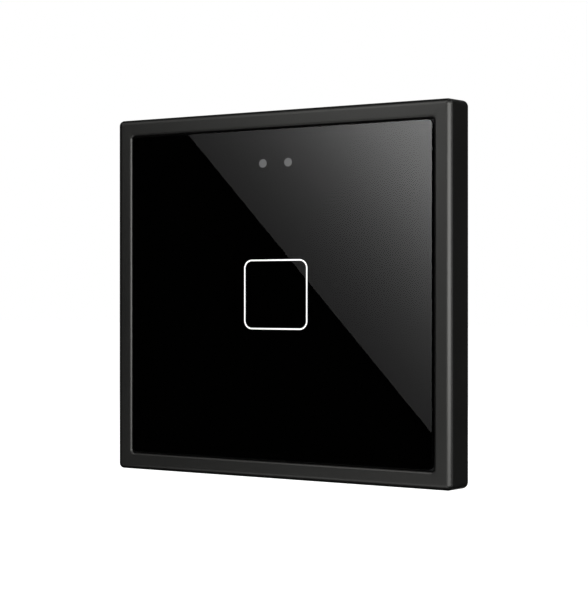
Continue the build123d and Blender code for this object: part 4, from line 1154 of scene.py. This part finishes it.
@dataclass
class Studio:
    """Floor, white surroundings, lamps, cards and the camera of the photograph. In metres."""

    LAMPS = (
        Softbox("right_fill", (0.75, -0.08, 0.10), (0.34, 0.60), 7.4),
        Softbox("top_fill", (-0.15, -0.40, 0.85), (0.50, 0.40), 2.2),
        Softbox("front_fill", (0.25, -1.30, 0.45), (1.20, 0.90), 1.6),
        Softbox("rear_fill", (0.10, 1.30, 0.45), (1.40, 0.90), 3.0),
    )
    LIT_CARDS = (
        Card(
            "right_strip", standing((0.281, -0.816), (0.848, -0.165), -0.14, 0.259),
            base=8.2, mirror=Mirror.DULL,
        ),
        Card(
            "top_strip",
            (
                (-0.320, -0.673, 0.196), (-0.178, -0.723, 0.196),
                (-0.078, -0.441, 0.626), (-0.220, -0.391, 0.626),
            ),
            base=5.0, mirror=Mirror.DULL,
        ),
        Card(
            "lower_strip",
            lying((-0.12, -0.36), (0.12, -0.36), (0.12, -0.09), (-0.12, -0.09), height=-0.138),
            base=1.7, mirror=Mirror.DULL,
        ),
    )
    FLAGS = (
        Card("front_flag", standing((-1.00, -0.75), (-0.06, -0.75), -0.16, 0.65)),
        Card("left_flag", standing((-1.02, -0.75), (-1.02, 0.70), -0.16, 0.90)),
        Card("right_rear_flag", standing((0.12, 0.90), (0.90, 0.50), -0.16, 0.70)),
        Card("left_rear_flag", standing((-0.12, 0.90), (-0.90, 0.50), -0.16, 0.70)),
        Card("middle_rear_flag", standing((-0.12, 0.90), (0.12, 0.90), 0.20, 0.70)),
        Card("upper_flag", lying((-0.90, -0.30), (0.70, -0.30), (0.70, 0.70), (-0.90, 0.70), height=0.80)),
        Card(
            "lower_flag", lying((-0.90, -0.40), (0.90, -0.40), (0.90, 0.22), (-0.90, 0.22), height=-0.14),
            mirror=Mirror.DULL,
        ),
        Card(
            "lower_rear_flag", lying((0.03, 0.22), (0.38, 0.22), (0.70, 0.90), (-0.10, 0.90), height=-0.14),
            mirror=Mirror.DULL,
        ),
        Card("right_flag", standing((0.30, -0.95), (1.05, -0.45), -0.16, 0.60), mirror=Mirror.DULL),
    )

    floor_height: float = -0.17
    floor_half: float = 6.0
    floor_colour: float = 0.45
    floor_mirrored: float = 0.95
    floor_glow: Pair = (0.66, 0.86)
    glow_reach: Pair = (0.25, 1.1)
    white: float = 1.0
    ambient: float = 0.45
    camera_place: Vec3 = (0.12111, -0.25924, 0.0)
    camera_yaw: float = 24.94
    lens: float = 74.12
    near_clip: float = 0.01
    glass_depth: float = -0.0096
    ramp_depth: float = -0.65
    ramp_outline: tuple[Pair, ...] = (
        (-23.1, 38.41), (37.83, -29.99), (50.0, -43.65), (50.0, 52.0), (-35.21, 52.0),
    )
    ramp_level: float = 4.1477
    ramp_base: float = 0.2022
    ramp_start: float = -2.5635
    ramp_rise: Pair = (0.0675, 0.0617)
    wing_reach: Pair = (0.38, 0.42)
    wall_depth: float = -1.6
    wall_low: Pair = (-2.6, -0.17)
    wall_high: Pair = (2.2, 2.4)
    wall_start: float = -3.66
    wall_rise: Pair = (2.5, 1.5)
    floor_rise: float = 1.0

    def surroundings(self) -> None:
        """White where it is seen or mirrored, and a plain soft light on the object."""
        world = bpy.data.worlds.new("surroundings")
        bpy.context.scene.world = world
        world.use_nodes = True
        wiring = Wiring(world.node_tree)
        path = wiring.add("ShaderNodeLightPath").outputs
        seen = wiring.math("MAXIMUM", path["Is Camera Ray"], path["Is Glossy Ray"])
        seen = wiring.math("MAXIMUM", seen, path["Is Transmission Ray"])
        strength = wiring.ramp(seen, 0.0, 1.0, self.ambient, self.white)
        background = next(n for n in world.node_tree.nodes if n.type == "BACKGROUND")
        wiring.fill(background, {"Color": (1.0, 1.0, 1.0, 1.0), "Strength": strength})
        world.cycles.sampling_method = "NONE"

    def mirrored_cards(self) -> tuple[Card, Card, Card]:
        """The lit card that the panel mirrors, laid out as the camera sees it there, and what is round it.

        The outline and the light's rises are given on the panel, in mm. A place on the card is the mirrored
        camera plus the way to the place on the glass, times the card's distance over the glass's; the
        rises are divided by the same scale. The wing carries the light on past the card's right and upper
        edges and fades it out there, and the dark wall behind grows lighter to the right and upwards. Only
        sharp mirrors see the wing and the wall.

        Returns:
            The card, its wing and the wall.
        """
        mirrored = 2 * self.glass_depth - self.camera_place[1]
        scale = (mirrored - self.ramp_depth) / (mirrored - self.glass_depth)
        side, depth = self.camera_place[0], self.ramp_depth
        places = [(side + (x * MM - side) * scale, z * MM * scale) for x, z in self.ramp_outline]
        rise = (self.ramp_rise[0] / (scale * MM), 0.0, self.ramp_rise[1] / (scale * MM))
        light = {
            "level": self.ramp_level,
            "base": self.ramp_base,
            "start": self.ramp_start + self.ramp_rise[0] * side / MM - rise[0] * side,
            "rise": rise,
        }
        card = Card("ramp_card", tuple((x, depth, z) for x, z in places), **light)
        first, _, low, high, left = places
        far, top = high[0] + self.wing_reach[0], high[1] + self.wing_reach[1]
        lean = (left[0] - first[0]) / (left[1] - first[1])
        outline = (low, (far, low[1]), (far, top), (left[0] + lean * (top - left[1]), top), left, high)
        wing = Card(
            "ramp_wing", tuple((x, depth, z) for x, z in outline), **light,
            fades=(("X", high[0], far), ("Z", high[1], top)), mirror=Mirror.SHARP,
        )
        (west, bottom), (east, ceiling), back = self.wall_low, self.wall_high, self.wall_depth
        wall = Card(
            "dark_wall", standing((west, back), (east, back), bottom, ceiling),
            level=self.floor_mirrored, start=self.wall_start,
            rise=(self.wall_rise[0], 0.0, self.wall_rise[1]), mirror=Mirror.SHARP,
        )
        return card, wing, wall

    def floor(self) -> bpy.types.Object:
        """A pale floor that keeps the object's shadow and is clear from below.

        The camera sees its colour and a glow that grows away from the object. Dull mirrors see one plain
        level, and sharp ones the light of the dark wall, carried on along the floor.

        Returns:
            The floor's object.
        """
        material, wiring = blank_material("pale_floor")
        place = wiring.add("ShaderNodeTexCoord").outputs["Object"]
        path = wiring.add("ShaderNodeLightPath").outputs
        grey = (*(self.floor_colour,) * 3, 1.0)
        diffuse = wiring.add("ShaderNodeBsdfDiffuse", {"Color": grey}).outputs[0]
        away = wiring.vector("LENGTH", place, output="Value")
        level = wiring.ramp(away, *self.glow_reach, *self.floor_glow)
        glow = wiring.light(wiring.math("MULTIPLY", path["Is Camera Ray"], level))
        lit = wiring.add("ShaderNodeAddShader", {0: diffuse, 1: glow}).outputs[0]
        start = self.wall_start + self.wall_rise[1] * self.wall_low[1] + self.floor_rise * self.wall_depth
        rise = (self.wall_rise[0], -self.floor_rise, 0.0)
        dark = wiring.soft_ramp(place, self.floor_mirrored, start, rise)
        even = wiring.light(wiring.ramp(path["Is Singular Ray"], 0.0, 1.0, self.floor_mirrored, dark))
        mirrored = wiring.math("MAXIMUM", path["Is Glossy Ray"], path["Is Transmission Ray"])
        above = wiring.mix_shaders(mirrored, lit, even)
        below = wiring.add("ShaderNodeNewGeometry").outputs["Backfacing"]
        wiring.show(wiring.mix_shaders(below, above, wiring.clear()))
        material.cycles.emission_sampling = "NONE"
        half, height = self.floor_half, self.floor_height
        corners = lying((-half, -half), (half, -half), (half, half), (-half, half), height=height)
        return stage_sheet("floor", corners, material)

    def camera(self) -> bpy.types.Object:
        """The camera at the photograph's place and angle.

        Returns:
            The camera's object.
        """
        data = bpy.data.cameras.new("camera")
        data.lens, data.clip_start = self.lens, self.near_clip
        camera = bpy.data.objects.new("camera", data)
        bpy.context.scene.collection.objects.link(camera)
        camera.location = self.camera_place
        camera.rotation_euler = (QUARTER, 0.0, math.radians(self.camera_yaw))
        bpy.context.scene.camera = camera
        return camera

    def build(self) -> None:
        """Builds the whole studio."""
        self.surroundings()
        self.floor()
        self.camera()
        for thing in (*self.LAMPS, *self.LIT_CARDS, *self.FLAGS, *self.mirrored_cards()):
            LOG.info("studio %s", thing.build().name)
        bpy.context.scene.view_settings.view_transform = "Standard"


def main() -> None:
    """Builds every sub-assembly, dresses the CAD nodes and sets the studio."""
    logging.basicConfig(level=logging.INFO, format="%(message)s")
    for assembly in (OuterFrame(), GlassPlate(), FoamSeal(), SensingSpring(), TerminalNumbers()):
        assembly.build()
    CarriedNodes().dress()
    Studio().build()


if __name__ == "__main__":
    main()
